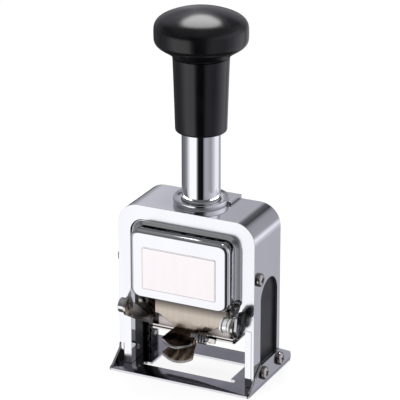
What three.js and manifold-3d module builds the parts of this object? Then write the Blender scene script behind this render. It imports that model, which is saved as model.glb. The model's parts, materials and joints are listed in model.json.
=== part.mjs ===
// Hand numbering machine: a chromed housing on a folded foot plate, with a plunger that carries six number
// wheels down to the paper while the ink pad holder swings out of their way to the front.
// Millimetres. X runs to the right, the front of the machine looks along -Y and Z goes up.
// The sizes below are measured from the plunger axis. The whole machine is then moved so that the
// middle of its footprint on the paper is the origin.

import * as THREE from 'three';
import { mergeVertices } from 'three/addons/utils/BufferGeometryUtils.js';
import Module from 'manifold-3d';

// Clearances and cutting
const seatGap = 0.2;
const runGap = 0.3;
const overrun = 2;

// Facets of round pieces
const roundSides = 40;
const smallSides = 20;
const cornerSteps = 6;

// Housing: one pressed shell with a front flange, a rear flange and a slot in each side
const housingWidth = 61;
const housingTop = 72.4;
const housingFront = 14.2;
const housingRear = 10.9;
const housingWall = 1.2;
const housingCorner = 9;
const flangeWidth = 5.4;
const topRail = 6;
const openingCorner = 6;
const lipDepth = 2.4;
const slotFrontInset = 6.3;
const slotRearInset = 2.6;
const slotTopDrop = 27.7;
const slotBottom = 9.3;
const leftNotchTop = 9.8;
const leftNotchWidth = 2;
const rightCutTop = 26;

// Right leg plate: closes the cut at the foot of the right flange
const legPlateThickness = 1.1;
const legPlateInset = 0.3;
const legPlateWidth = 2.7;
const legTongue = 6;

// Foot plate with its two ears
const footThickness = 1;
const footAhead = 7.4;
const footBehind = 5.6;
const earFrontInset = 0.2;
const earOverhang = 3.9;
const earHeight = 9.6;
const earAheadOfScrew = 1.2;
const earBehindScrew = 1.4;
const earNose = 1.9;
const earNoseBack = 2.1;
const earShoulder = 4.9;
const earShoulderBack = 6.1;
const earTailHeight = 4.1;
const earTailBack = 0.8;
const windowSide = 12.3;
const windowFrontInset = 1.9;
const windowRearInset = 4.8;
const lobeReach = 2.8;
const lobeRadius = 1.25;
const lobeBack = 1.3;

// Screws through the ears and one above each side slot
const screwHeadRadius = 2.8;
const screwHeadHeight = 1.6;
const screwShank = 1.45;
const earScrewHeight = 5.8;
const frontScrewInset = 6.8;
const rearScrewInset = 2.9;
const sideScrewAhead = 2;
const sideScrewAbove = 2.9;
const screwSocketRadius = 1.1;
const screwSocketDepth = 0.9;

// Side guides: black liners in which the carriage runs
const guideThickness = 3.9;
const guideTopDrop = 9.4;
const grooveDepth = 2.9;
const grooveHalf = 3.6;

// Guide rods and return springs
const rodRadius = 1;
const rodInset = 0.2;
const springRadius = 1.75;
const springWire = 0.35;
const springTurns = 12;
const stepsPerTurn = 8;
const wireSides = 5;

// Collar, and the rear plate that runs over the top of the housing under it
const collarLip = 0.1;
const collarStep = 2.3;
const collarHeight = 2.2;
const collarWall = 1.5;
const collarThread = 4.6;
const collarFlare = 1.5;
const collarFloor = 0.9;
const strapMargin = 3;
const strapThickness = 1;
const strapFrontInset = 4.6;
const strapEndRadius = 8;
const rearPlateMargin = 6.5;
const rearPlateHeight = 26;
const rearPlateDrop = 10.4;
const rearPlateCorner = 5;
const rearScrewSpread = 19;
const rearScrewRadius = 2.2;
const rearScrewHead = 1.2;
const rearScrewShank = 1;

// Front cover: a pressed box on a rim that fills the opening
const coverMargin = 2.9;
const coverAbove = 5.2;
const coverTopMargin = 1.8;
const coverReach = 6.8;
const coverEdge = 2;
const coverCorner = 4;
const coverWall = 0.8;
const coverRimStep = 0.6;
const coverRimThickness = 0.8;
const coverRimBack = 1.6;
const labelMargin = 5.7;
const labelAbove = 5;
const labelBelow = 7.1;
const labelThickness = 0.2;
const labelCorner = 0.8;

// Plunger: chromed tube with a black knob
const shaftRadius = 7.9;
const shaftBore = 6.6;
const plungerTravel = 22.3;
const capHeight = 19.5;
const shaftShown = 31;
const neckTaper = 1;
const neckWall = 3.6;
const neckRound = 0.7;
const neckLength = 31.2;
const capRadius = 18.95;
// Outline of the cap from its underside up: shares of its radius and of its height
const capShares = [
  [0, 0], [0.617, 0], [0.675, 0.072], [0.749, 0.123], [0.834, 0.174], [0.918, 0.226], [0.968, 0.277],
  [0.995, 0.338], [1, 0.431], [1, 0.544], [0.995, 0.626], [0.974, 0.687], [0.937, 0.738], [0.881, 0.785],
  [0.802, 0.826], [0.649, 0.89], [0.485, 0.938], [0.317, 0.974], [0.158, 0.995], [0, 1],
];
const shaftBelowCap = 3.4;

// Carriage
const headMargin = 4.2;
const headFrontInset = 6.7;
const headRearInset = 4.4;
const headRise = 21.5;
const headHeight = 8;
const wingHalf = 3.3;
const sideThickness = 1.5;
const sideFootInset = 2;
const sideFrontInset = 0.5;
const tieRadius = 1.2;
const tieBack = 4.6;
const tieAbove = 16;
const clipWidth = 1.4;
const clipThickness = 0.8;

// Number wheels with their ratchets, and what moves and stops them
const wheelCount = 6;
const digitCount = 10;
const wheelRadius = 8;
const wheelHeight = 30.5;
const wheelPitch = 4.2;
const typeWidth = 2.6;
const typeDepth = 1.1;
const ratchetInset = 1.8;
const ratchetStep = 1.2;
const axleRadius = 2;
const laneMargin = 0.3;
const yokeThickness = 1;
const yokeRingWidth = 1.8;
const yokeAbove = 4.4;
const yokeBar = 1.6;
const yokeStartAngle = 68;
const pawlRodRadius = 0.8;
const pawlThickness = 1;
const detentBehind = 2;
const detentAbove = 7.5;
const detentBar = 1;
const detentSpring = 0.5;

// Ink pad holder, hung in front of the legs
const pivotAhead = 4.3;
const pivotRise = 6.8;
const pivotPinRadius = 1.2;
const pinEnd = 0.5;
const armMargin = 0.5;
const armSheet = 1;
const armEye = 4;
const armStraight = 3;
const armDraw = 5.4;
const trayMargin = 0.2;
const trayRear = 5;
const trayWall = 4.4;
const padThickness = 4.8;
const padInset = 1.4;
const shieldAhead = 1.7;
const shieldThickness = 0.8;
const shieldAbove = 2;
const shieldMargin = 2.6;
const shieldShoulderRise = 8;
const shieldShoulderInset = 1.9;
const shieldFootHalf = 7.2;
const tabAside = 2.4;
const tabRootHalf = 4.7;
const tabHalf = 7.2;
const tabRootRise = 3.5;
const tabSheet = 0.8;
const tabReach = 8.5;
const tabEndsDrop = 2.1;
const tabBelow = 7;
const tabUpperBow = 2.5;
const tabUpperSag = 2.1;
const tabLowerBow = 1;
const tabLowerSag = 2.4;
const sleeveRadius = 3.7;
const sleeveLength = 4.6;
const sleeveInset = 0.8;
const leftLugRadius = 3.1;
const leftLugLength = 2.7;
const lugThickness = 1.2;
const lugEye = 3.2;
const lugNose = 2.2;
const thumbRadius = 2.6;
const thumbLength = 1.6;
const thumbRise = 4.3;
const thumbStem = 1.1;
const thumbRidges = 16;
const thumbGroove = 0.35;
const footDepth = 0.6;
const catchRadius = 2.15;
const catchWire = 0.35;
const catchTurns = 3;
const catchLength = 3.7;
const catchPinRadius = 1.5;
const catchAside = 2.2;
const catchAhead = 3;
const catchBelow = 1.5;
const stopLeft = 7.3;
const stopWidth = 3.2;
const stopDrop = 1.4;

// Housing, foot plate and guides, worked out from the sizes above
const half = housingWidth / 2;
const innerHalf = half - housingWall;
const openingHalf = half - flangeWidth;
const openingTop = housingTop - topRail;
const slotFront = housingFront - slotFrontInset;
const slotRear = housingRear - slotRearInset;
const slotTop = housingTop - slotTopDrop;
const seatHeight = footThickness + seatGap;
const footFront = housingFront + footAhead;
const footRear = housingRear + footBehind;
const windowHalf = half - windowSide;
const windowFront = housingFront - windowFrontInset;
const windowRear = housingRear - windowRearInset;
const frontScrewSetback = housingFront - frontScrewInset;
const rearScrewSetback = housingRear - rearScrewInset;
const sideScrewSetback = slotFront + sideScrewAhead;
const sideScrewHeight = slotTop + sideScrewAbove;
const earOuter = half + seatGap + footThickness;
const earFront = footFront - earFrontInset;
const earRear = footRear + earOverhang;
const earTopFront = frontScrewSetback + earAheadOfScrew;
const earTopRear = rearScrewSetback + earBehindScrew;
const guideOuter = innerHalf - seatGap;
const guideInner = guideOuter - guideThickness;
const guideFront = housingFront - housingWall - lipDepth - seatGap;
const guideRear = housingRear - housingWall - seatGap;
const guideTop = housingTop - guideTopDrop;
const grooveEnd = guideInner + grooveDepth;
const rodOffset = guideInner - rodInset;

// Collar and rear plate
const strapTop = housingTop + seatGap + strapThickness;
const rearPlateFace = housingRear + seatGap + strapThickness;
const rearPlateHalf = half - rearPlateMargin;
const rearPlateShoulder = housingTop - rearPlateDrop;
const rearPlateBottom = rearPlateShoulder - rearPlateHeight;
const rearScrewX = rearScrewSpread / 2;
const strapHalf = rearScrewX + strapMargin;
const rearScrewZ = openingTop + topRail / 2 - housingWall / 2;
const collarSpigot = shaftRadius + collarWall;
const collarFoot = collarSpigot + collarStep;
const collarRim = collarFoot + collarLip;

// Plunger and carriage
const neckBottom = housingTop + shaftShown;
const capBottom = neckBottom + neckLength;
const neckRadius = shaftRadius + neckWall;
const neckLowRadius = neckRadius - neckTaper;
const headHalf = guideInner - headMargin;
const headFront = housingFront - headFrontInset;
const headRear = housingRear - headRearInset;
const headBottom = wheelHeight + headRise;
const headTop = headBottom + headHeight;
const shaftFoot = headBottom + headHeight / 2;
const stackHalf = wheelCount * wheelPitch / 2;
const yokeInner = stackHalf + runGap;
const yokeOuter = yokeInner + yokeThickness;
const yokeRing = axleRadius + yokeRingWidth;
const yokeReach = wheelRadius + yokeAbove;
const sideInner = yokeOuter + runGap;
const sideOuter = sideInner + sideThickness;
const sideFront = headFront - sideFrontInset;
const sideFootRadius = wheelRadius - sideFootInset;
const clipRadius = axleRadius + clipWidth;
const axleHalf = sideOuter + seatGap + clipThickness + seatGap;
const ratchetRadius = wheelRadius - ratchetInset;
const detentBack = ratchetRadius + detentBehind;

// Ink pad holder
const padTop = wheelHeight - wheelRadius - runGap;
const trayBottom = padTop - padThickness - seatGap - armSheet;
const trayWallTop = trayBottom + trayWall;
const trayFront = wheelRadius + trayMargin;
const pivotHeight = padTop + pivotRise;
const pivotFront = housingFront + pivotAhead;
const armOuter = openingHalf - armMargin;
const armBend = pivotFront - armStraight;
const trayHalf = armOuter - armDraw;
const shieldFront = trayFront + shieldAhead;
const shieldTop = pivotHeight + shieldAbove;
const shieldHalf = trayHalf - shieldMargin;
const shieldShoulder = trayBottom + shieldShoulderRise;
const shieldShoulderHalf = shieldHalf - shieldShoulderInset;
const tabRoot = trayBottom + tabRootRise;
const tabLowerRoot = tabRoot - tabBelow;
const shieldMiddle = shieldFront - shieldThickness / 2;
const catchLeft = tabRootHalf - tabAside + catchAside;
const catchFront = shieldMiddle + catchAhead;
const catchHeight = tabRoot - catchBelow;

// Front cover and label
const coverHalf = openingHalf - coverMargin;
const coverFront = housingFront + coverReach;
const coverBottom = pivotHeight + coverAbove;
const coverTop = openingTop - coverTopMargin;
const coverRimBottom = coverBottom - coverRimStep;
const labelHalf = coverHalf - labelMargin;
const labelBottom = coverBottom + labelAbove;
const labelHeight = coverTop - labelBelow - labelBottom;

const wasm = await Module();
wasm.setup();

// Closed geometry to a solid that can be joined and cut
function solid(geometry) {
  const bare = geometry.index ? geometry.clone() : mergeVertices(geometry);
  bare.deleteAttribute('normal');
  bare.deleteAttribute('uv');
  const merged = mergeVertices(bare, 1e-5);
  const corners = merged.index.array;
  const kept = [];
  for (let i = 0; i < corners.length; i += 3) {
    const [a, b, c] = [corners[i], corners[i + 1], corners[i + 2]];
    if (a !== b && b !== c && a !== c) kept.push(a, b, c);
  }
  return new wasm.Manifold(new wasm.Mesh({
    numProp: 3,
    vertProperties: new Float32Array(merged.attributes.position.array),
    triVerts: new Uint32Array(kept),
  }));
}

function geometryOf(body) {
  const mesh = body.getMesh();
  const geometry = new THREE.BufferGeometry();
  geometry.setAttribute('position', new THREE.BufferAttribute(mesh.vertProperties, 3));
  geometry.setIndex(new THREE.BufferAttribute(mesh.triVerts, 1));
  return geometry;
}

const joined = (bodies) => bodies.reduce((sum, body) => sum.add(body));

function extruded(shape, depth) {
  return new THREE.ExtrudeGeometry(shape, { depth, bevelEnabled: false, curveSegments: cornerSteps });
}

// Outlines drawn in (X, Y), (X, Z) or (Y, Z), thickened between two places on the third axis
function slabZ(shape, low, high) {
  return solid(extruded(shape, high - low).translate(0, 0, low));
}

function slabY(shape, low, high) {
  return solid(extruded(shape, high - low).rotateX(Math.PI / 2).translate(0, high, 0));
}

const turnToX = new THREE.Matrix4().makeBasis(
  new THREE.Vector3(0, 1, 0), new THREE.Vector3(0, 0, 1), new THREE.Vector3(1, 0, 0));

function slabX(shape, low, high) {
  return solid(extruded(shape, high - low).applyMatrix4(turnToX).translate(low, 0, 0));
}

function polygon(points) {
  return new THREE.Shape(points.map(([x, y]) => new THREE.Vector2(x, y)));
}

function rectangle(x0, x1, y0, y1) {
  return polygon([[x0, y0], [x1, y0], [x1, y1], [x0, y1]]);
}

function roundedRectangle(x0, x1, y0, y1, radius) {
  const shape = new THREE.Shape();
  shape.moveTo(x0 + radius, y0);
  shape.lineTo(x1 - radius, y0);
  shape.absarc(x1 - radius, y0 + radius, radius, -Math.PI / 2, 0);
  shape.lineTo(x1, y1 - radius);
  shape.absarc(x1 - radius, y1 - radius, radius, 0, Math.PI / 2);
  shape.lineTo(x0 + radius, y1);
  shape.absarc(x0 + radius, y1 - radius, radius, Math.PI / 2, Math.PI);
  shape.lineTo(x0, y0 + radius);
  shape.absarc(x0 + radius, y0 + radius, radius, Math.PI, 3 * Math.PI / 2);
  return shape;
}

// An upright arch: square at the foot, round at the two top corners
function arch(x0, x1, bottom, top, radius) {
  const shape = new THREE.Shape();
  shape.moveTo(x0, bottom);
  shape.lineTo(x1, bottom);
  shape.lineTo(x1, top - radius);
  shape.absarc(x1 - radius, top - radius, radius, 0, Math.PI / 2);
  shape.lineTo(x0 + radius, top);
  shape.absarc(x0 + radius, top - radius, radius, Math.PI / 2, Math.PI);
  return shape;
}

const box = (x0, x1, y0, y1, z0, z1) => slabZ(rectangle(x0, x1, y0, y1), z0, z1);

function rodZ(radius, x, y, z0, z1, sides = smallSides) {
  const rod = new THREE.CylinderGeometry(radius, radius, z1 - z0, sides);
  return solid(rod.rotateX(Math.PI / 2).translate(x, y, (z0 + z1) / 2));
}

function rodX(radius, x0, x1, y, z, sides = smallSides) {
  const rod = new THREE.CylinderGeometry(radius, radius, x1 - x0, sides);
  return solid(rod.rotateZ(Math.PI / 2).translate((x0 + x1) / 2, y, z));
}

function rodY(radius, x, y0, y1, z, sides = smallSides) {
  const rod = new THREE.CylinderGeometry(radius, radius, y1 - y0, sides);
  return solid(rod.translate(x, (y0 + y1) / 2, z));
}

// A turned piece on the plunger axis from a closed outline of (radius, height)
function turned(outline) {
  const points = [...outline, outline[0]].map(([r, z]) => new THREE.Vector2(r, z));
  return solid(new THREE.LatheGeometry(points, roundSides).rotateX(Math.PI / 2));
}

// A tube along a curve, straight cut at both ends
function wireAlong(curve, radius, steps) {
  const section = new THREE.Shape();
  section.absarc(0, 0, radius, 0, 2 * Math.PI);
  const points = section.getPoints(wireSides).slice(0, wireSides);
  const ring = points.map((_, i) => {
    const angle = 2 * Math.PI * i / wireSides;
    return new THREE.Vector2(radius * Math.cos(angle), radius * Math.sin(angle));
  });
  return new THREE.ExtrudeGeometry(new THREE.Shape(ring), { steps, extrudePath: curve, bevelEnabled: false });
}

class Helix extends THREE.Curve {
  constructor(radius, length, turns) {
    super();
    this.radius = radius;
    this.length = length;
    this.turns = turns;
  }

  getPoint(t, target = new THREE.Vector3()) {
    const angle = 2 * Math.PI * this.turns * t;
    return target.set(this.radius * Math.cos(angle), this.radius * Math.sin(angle), this.length * t);
  }

  getPointAt(t, target) {
    return this.getPoint(t, target);
  }
}

// A thin curved sheet: place(s, t) gives the middle surface for s across and t along, both from 0 to 1
function sheet(place, across, along, thickness) {
  const positions = [];
  const triangles = [];
  const columns = across + 1;
  const rows = along + 1;
  const step = 1e-3;
  for (const side of [1, -1]) {
    for (let j = 0; j < rows; j += 1) {
      for (let i = 0; i < columns; i += 1) {
        const s = i / across;
        const t = j / along;
        const here = place(s, t);
        const alongS = place(Math.min(s + step, 1), t).sub(place(Math.max(s - step, 0), t));
        const alongT = place(s, Math.min(t + step, 1)).sub(place(s, Math.max(t - step, 0)));
        const normal = alongS.cross(alongT).normalize();
        here.addScaledVector(normal, side * thickness / 2);
        positions.push(here.x, here.y, here.z);
      }
    }
  }
  const at = (side, i, j) => side * rows * columns + j * columns + i;
  const quad = (a, b, c, d) => triangles.push(a, b, c, a, c, d);
  for (let j = 0; j < along; j += 1) {
    for (let i = 0; i < across; i += 1) {
      quad(at(0, i, j), at(0, i + 1, j), at(0, i + 1, j + 1), at(0, i, j + 1));
      quad(at(1, i, j + 1), at(1, i + 1, j + 1), at(1, i + 1, j), at(1, i, j));
    }
    quad(at(0, 0, j + 1), at(1, 0, j + 1), at(1, 0, j), at(0, 0, j));
    quad(at(0, across, j), at(1, across, j), at(1, across, j + 1), at(0, across, j + 1));
  }
  for (let i = 0; i < across; i += 1) {
    quad(at(0, i, 0), at(1, i, 0), at(1, i + 1, 0), at(0, i + 1, 0));
    quad(at(0, i + 1, along), at(1, i + 1, along), at(1, i, along), at(0, i, along));
  }
  const geometry = new THREE.BufferGeometry();
  geometry.setAttribute('position', new THREE.Float32BufferAttribute(positions, 3));
  geometry.setIndex(triangles);
  return solid(geometry);
}

// Finishes
const finish = (color, roughness, metalness) => new THREE.MeshStandardMaterial({ color, roughness, metalness });
const chrome = finish(0xd8dade, 0.12, 1);
const nickel = finish(0xc9c1b2, 0.28, 1);
const steel = finish(0xa9aaae, 0.35, 1);
const blackSteel = finish(0x17171a, 0.45, 0.4);
const blackPlastic = finish(0x0c0c0e, 0.12, 0);
const felt = finish(0xe9dfda, 0.95, 0);
const labelFoil = finish(0xefe4e6, 0.4, 0.1);
const springSteel = finish(0x9b9da1, 0.3, 1);

const machine = new THREE.Group();

function piece(name, body, material, x = 0, y = 0, z = 0) {
  const mesh = new THREE.Mesh(body instanceof THREE.BufferGeometry ? body : geometryOf(body), material);
  mesh.name = name;
  mesh.position.set(x, y, z);
  machine.add(mesh);
  return mesh;
}

const sides = [['left', -1], ['right', 1]];
const span = (sign, inner, outer) => (sign > 0 ? [inner, outer] : [-outer, -inner]);

// The holes that the ear screws and the side screw need, through everything from the guide outwards
function screwHoles(sign, radius) {
  const [x0, x1] = span(sign, guideInner - overrun, earOuter + overrun);
  return joined([
    rodX(radius, x0, x1, -frontScrewSetback, earScrewHeight),
    rodX(radius, x0, x1, rearScrewSetback, earScrewHeight),
    rodX(radius, x0, x1, -sideScrewSetback, sideScrewHeight),
  ]);
}

const screwHole = screwShank + seatGap;

// Housing
function housing() {
  const outer = slabY(arch(-half, half, seatHeight, housingTop, housingCorner), -housingFront, housingRear);
  const hollow = slabY(
    arch(-innerHalf, innerHalf, -overrun, housingTop - housingWall, housingCorner - housingWall),
    housingWall - housingFront, housingRear - housingWall);
  const opening = arch(-openingHalf, openingHalf, -overrun, openingTop, openingCorner);
  const throughOpening = slabY(opening, -housingFront - overrun, housingRear + overrun);
  const lipArch = arch(-openingHalf - housingWall, openingHalf + housingWall, seatHeight,
    openingTop + housingWall, openingCorner + housingWall);
  const lip = slabY(lipArch, -housingFront + housingWall / 2, -housingFront + housingWall + lipDepth);
  const slotRadius = (slotFront + slotRear) / 2;
  const slot = slabX(arch(-slotFront, slotRear, slotBottom, slotTop, slotRadius), -half - overrun, half + overrun);
  const shaftHole = rodZ(collarSpigot + seatGap, 0, 0, openingTop, housingTop + overrun, roundSides);
  const leftNotch = box(-half - overrun, -half + leftNotchWidth, -housingFront - overrun,
    -housingFront + housingWall, 0, leftNotchTop);
  const rightCut = box(openingHalf - overrun, innerHalf, -housingFront - overrun,
    -housingFront + housingWall + lipDepth + overrun, 0, rightCutTop);
  return outer.subtract(hollow).add(lip).subtract(throughOpening).subtract(slot).subtract(shaftHole)
    .subtract(leftNotch).subtract(rightCut)
    .subtract(screwHoles(-1, screwHole)).subtract(screwHoles(1, screwHole));
}

function rightLegPlate() {
  const right = innerHalf - seatGap;
  const left = right - legPlateWidth;
  const face = housingFront - legPlateInset;
  const plate = box(left, right, -face, -face + legPlateThickness, seatHeight, rightCutTop - seatGap);
  const tongueFace = housingFront - housingWall - seatGap;
  const tongueLeft = openingHalf + housingWall + seatGap;
  const tongue = box(Math.max(left, tongueLeft), right, -tongueFace, -tongueFace + legPlateThickness,
    rightCutTop - legTongue, rightCutTop + legTongue);
  return plate.add(tongue);
}

// Foot plate
function footPlate() {
  const outline = roundedRectangle(-earOuter, earOuter, -footFront, footRear, footThickness);
  const plate = slabZ(outline, 0, footThickness);
  const opening = roundedRectangle(-windowHalf, windowHalf,
    -windowFront, windowRear, footThickness);
  const lobeY = lobeBack - windowFront;
  const lobe = roundedRectangle(-windowHalf - lobeReach, windowHalf + lobeReach,
    lobeY - lobeRadius, lobeY + lobeRadius, lobeRadius * 0.99);
  const ear = polygon([
    [-earFront, 0], [earRear - earTailBack, 0], [earRear, earTailHeight / 2],
    [earRear - earTailBack, earTailHeight], [earTopRear, earHeight], [-earTopFront, earHeight],
    [-earFront + earShoulderBack, earShoulder], [-earFront + earNoseBack, earNose], [-earFront, footThickness],
  ]);
  const ears = sides.map(([, sign]) => slabX(ear, ...span(sign, earOuter - footThickness, earOuter)));
  return joined([plate, ...ears])
    .subtract(slabZ(opening, -overrun, footThickness + overrun))
    .subtract(slabZ(lobe, -overrun, footThickness + overrun))
    .subtract(screwHoles(-1, screwHole)).subtract(screwHoles(1, screwHole));
}

// Pan head screw lying along X, head outwards: from the tip at 0 to the underside of the head at length
function panScrew(length, headRadius, headHeight, shank) {
  const dome = [
    [0, -length], [shank, -length], [shank, 0], [headRadius, 0], [headRadius, headHeight / 2],
    [headRadius * Math.cos(Math.PI / 5), headHeight], [0, headHeight],
  ];
  const points = dome.map(([r, z]) => new THREE.Vector2(r, z));
  const body = solid(new THREE.LatheGeometry(points, smallSides).rotateX(Math.PI / 2));
  const depth = headHeight - screwSocketDepth;
  const arm = headRadius / 2;
  const cross = [
    box(-arm, arm, -screwSocketRadius / 3, screwSocketRadius / 3, depth, headHeight + overrun),
    box(-screwSocketRadius / 3, screwSocketRadius / 3, -arm, arm, depth, headHeight + overrun),
  ];
  return geometryOf(body.subtract(joined(cross)));
}

function sideScrew(name, sign, headUnderside, y, z) {
  const length = headUnderside - guideInner + seatGap;
  const geometry = panScrew(length, screwHeadRadius, screwHeadHeight, screwShank);
  const mesh = piece(name, geometry, steel, sign * headUnderside, y, z);
  mesh.rotation.y = sign * Math.PI / 2;
}

// Side guide
function sideGuide(sign) {
  const [x0, x1] = span(sign, guideInner, guideOuter);
  const [g0, g1] = span(sign, guideInner - overrun, grooveEnd);
  return box(x0, x1, -guideFront, guideRear, seatHeight, guideTop)
    .subtract(box(g0, g1, -grooveHalf, grooveHalf, 0, guideTop + overrun))
    .subtract(screwHoles(sign, screwHole));
}

// The rod ends just under the round of the housing, at its outermost edge
function guideRodTop() {
  const innerCorner = housingCorner - housingWall;
  const centreX = innerHalf - innerCorner;
  const reach = rodOffset + rodRadius - centreX;
  const centreZ = housingTop - housingWall - innerCorner;
  return centreZ + Math.sqrt(innerCorner ** 2 - reach ** 2) - seatGap;
}

function returnSpring() {
  const length = headBottom - runGap - seatHeight - 2 * springWire;
  const curve = new Helix(springRadius, length, springTurns);
  return wireAlong(curve, springWire, springTurns * stepsPerTurn);
}

// Collar: a shallow cup around the plunger, pressed through the rear plate into the housing
function collar() {
  const bore = shaftRadius + runGap;
  const foot = strapTop + seatGap;
  const rim = foot + collarHeight;
  return turned([
    [bore, housingTop - collarThread], [collarSpigot, housingTop - collarThread], [collarSpigot, foot],
    [collarFoot, foot], [collarRim, rim - collarFloor], [collarRim, rim], [collarRim - collarFloor, rim],
    [bore + collarFlare / 2, foot + collarFloor], [bore, foot + collarFloor],
  ]);
}

// Rear plate: a strap over the top of the housing, folded down behind it and widened into a cover
function rearPlate() {
  const low = strapTop - strapThickness;
  const front = strapFrontInset - housingFront;
  const roundEnd = roundedRectangle(-strapHalf, strapHalf, front, front + 2 * strapHalf, strapEndRadius);
  const strap = slabZ(roundEnd, low, strapTop)
    .add(box(-strapHalf, strapHalf, front + strapEndRadius, rearPlateFace, low, strapTop))
    .subtract(box(-strapHalf - overrun, strapHalf + overrun, rearPlateFace, 2 * footRear, low - overrun, strapTop + overrun));
  const cover = roundedRectangle(-rearPlateHalf, rearPlateHalf, rearPlateBottom, rearPlateShoulder, rearPlateCorner);
  const back = slabY(cover, rearPlateFace - strapThickness, rearPlateFace);
  const neck = box(-strapHalf, strapHalf, rearPlateFace - strapThickness, rearPlateFace,
    rearPlateShoulder - rearPlateCorner, strapTop);
  const hole = rodZ(collarSpigot + seatGap, 0, 0, housingTop - overrun, strapTop + overrun, roundSides);
  const screwHoleY = rearScrewShank + seatGap;
  const holes = sides.map(([, sign]) => rodY(screwHoleY, sign * rearScrewX, housingRear - overrun,
    rearPlateFace + overrun, rearScrewZ));
  return joined([strap, back, neck]).subtract(hole).subtract(joined(holes));
}

function rearScrew() {
  const length = rearPlateFace - housingRear;
  return panScrew(length - seatGap / 2, rearScrewRadius, rearScrewHead, rearScrewShank);
}

// Front cover
function frontCover() {
  const core = (inset) => roundedRectangle(-coverHalf + inset, coverHalf - inset,
    coverBottom + inset, coverTop - inset, coverCorner - inset / 2);
  const face = new THREE.ExtrudeGeometry(core(coverEdge), {
    depth: coverFront - housingFront, bevelEnabled: true, bevelSize: coverEdge,
    bevelThickness: coverEdge, bevelSegments: 3, curveSegments: cornerSteps,
  });
  const shell = solid(face.rotateX(Math.PI / 2).translate(0, coverEdge - housingFront, 0));
  const rimOutline = roundedRectangle(seatGap - openingHalf, openingHalf - seatGap,
    coverRimBottom, openingTop - seatGap, openingCorner - seatGap);
  const rimFront = -housingFront - coverRimThickness;
  const rim = slabY(rimOutline, rimFront, -housingFront + coverRimBack);
  const hollow = slabY(core(coverWall), -coverFront + coverWall, -housingFront + coverRimBack + overrun);
  const cut = slabY(rectangle(-half, half, 0, housingTop), -housingFront + coverRimBack, housingRear);
  return shell.add(rim).subtract(hollow).subtract(cut);
}

function labelPlate() {
  const outline = roundedRectangle(-labelHalf, labelHalf, labelBottom, labelBottom + labelHeight, labelCorner);
  const back = -coverFront - seatGap / 4;
  return slabY(outline, back - labelThickness, back);
}

// Plunger
function shaft() {
  const top = capBottom - shaftBelowCap;
  return turned([[shaftBore, shaftFoot], [shaftRadius, shaftFoot], [shaftRadius, top], [shaftBore, top]]);
}

function knobNeck() {
  const bore = shaftRadius + seatGap;
  const top = capBottom - seatGap;
  return turned([
    [bore, neckBottom], [neckLowRadius - neckRound, neckBottom],
    [neckLowRadius - neckRound * 0.3, neckBottom + neckRound * 0.3],
    [neckLowRadius, neckBottom + neckRound], [neckRadius, top], [bore, top],
  ]);
}

// The cap: a short taper, a nearly upright edge and a flat dome
function knobCap() {
  const points = capShares.map(([across, up]) => new THREE.Vector2(across * capRadius, capBottom + up * capHeight));
  return solid(new THREE.LatheGeometry(points, roundSides).rotateX(Math.PI / 2));
}

// Carriage
function carriageHead() {
  const block = box(-headHalf, headHalf, -headFront, headRear, headBottom, headTop);
  const wingEnd = grooveEnd - runGap;
  const wings = box(-wingEnd, wingEnd, -wingHalf, wingHalf, headBottom, headTop);
  const socket = rodZ(shaftRadius + seatGap, 0, 0, shaftFoot - seatGap, headTop + overrun, roundSides);
  const rodHoles = sides.map(([, sign]) => rodZ(rodRadius + runGap, sign * rodOffset, 0,
    headBottom - overrun, headTop + overrun));
  return block.add(wings).subtract(socket).subtract(joined(rodHoles));
}

function carriageSide(sign) {
  const [x0, x1] = span(sign, sideInner, sideOuter);
  const shape = new THREE.Shape();
  const top = headBottom - seatGap;
  shape.moveTo(headRear, top);
  shape.lineTo(-sideFront, top);
  shape.lineTo(-sideFootRadius, wheelHeight);
  shape.absarc(0, wheelHeight, sideFootRadius, Math.PI, 2 * Math.PI);
  return slabX(shape, x0, x1)
    .subtract(rodX(axleRadius + seatGap, x0 - overrun, x1 + overrun, 0, wheelHeight))
    .subtract(rodX(tieRadius + seatGap, x0 - overrun, x1 + overrun, -tieBack, wheelHeight + tieAbove))
    .subtract(rodX(detentBar + seatGap, x0 - overrun, x1 + overrun, detentBack, wheelHeight + detentAbove));
}

function retainingClip(sign) {
  const [x0, x1] = span(sign, sideOuter + seatGap, sideOuter + seatGap + clipThickness);
  const ring = rodX(clipRadius, x0, x1, 0, wheelHeight);
  const slot = box(x0 - overrun, x1 + overrun, -axleRadius, axleRadius, wheelHeight - clipRadius - overrun, wheelHeight);
  const bore = rodX(axleRadius + seatGap, x0 - overrun, x1 + overrun, 0, wheelHeight);
  return ring.subtract(slot).subtract(bore);
}

// Number wheel: ten raised type blocks around a drum, with a ten tooth ratchet on its right side
function numberWheel() {
  const drum = [];
  const pitch = 2 * Math.PI / digitCount;
  const drumRadius = wheelRadius - typeDepth;
  for (let i = 0; i < digitCount; i += 1) {
    const middle = i * pitch - Math.PI / 2;
    const offsetShares = [[-0.40, 0], [-0.32, 1], [0, 1], [0.32, 1], [0.40, 0]];
    for (const [offset, raised] of offsetShares) {
      const radius = drumRadius + raised * typeDepth;
      const angle = middle + offset * pitch;
      drum.push([radius * Math.cos(angle), radius * Math.sin(angle)]);
    }
  }
  const teeth = [];
  for (let i = 0; i < digitCount; i += 1) {
    const angle = i * pitch;
    teeth.push([ratchetRadius * Math.cos(angle), ratchetRadius * Math.sin(angle)]);
    const root = ratchetRadius - ratchetStep;
    teeth.push([root * Math.cos(angle + pitch * 0.12), root * Math.sin(angle + pitch * 0.12)]);
  }
  const width = wheelPitch - runGap;
  const left = -width / 2;
  const right = width / 2;
  const type = slabX(polygon(drum), left, left + typeWidth);
  const ratchet = slabX(polygon(teeth), left, right);
  return type.add(ratchet).subtract(rodX(axleRadius + runGap, left - overrun, right + overrun, 0, 0));
}

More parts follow.
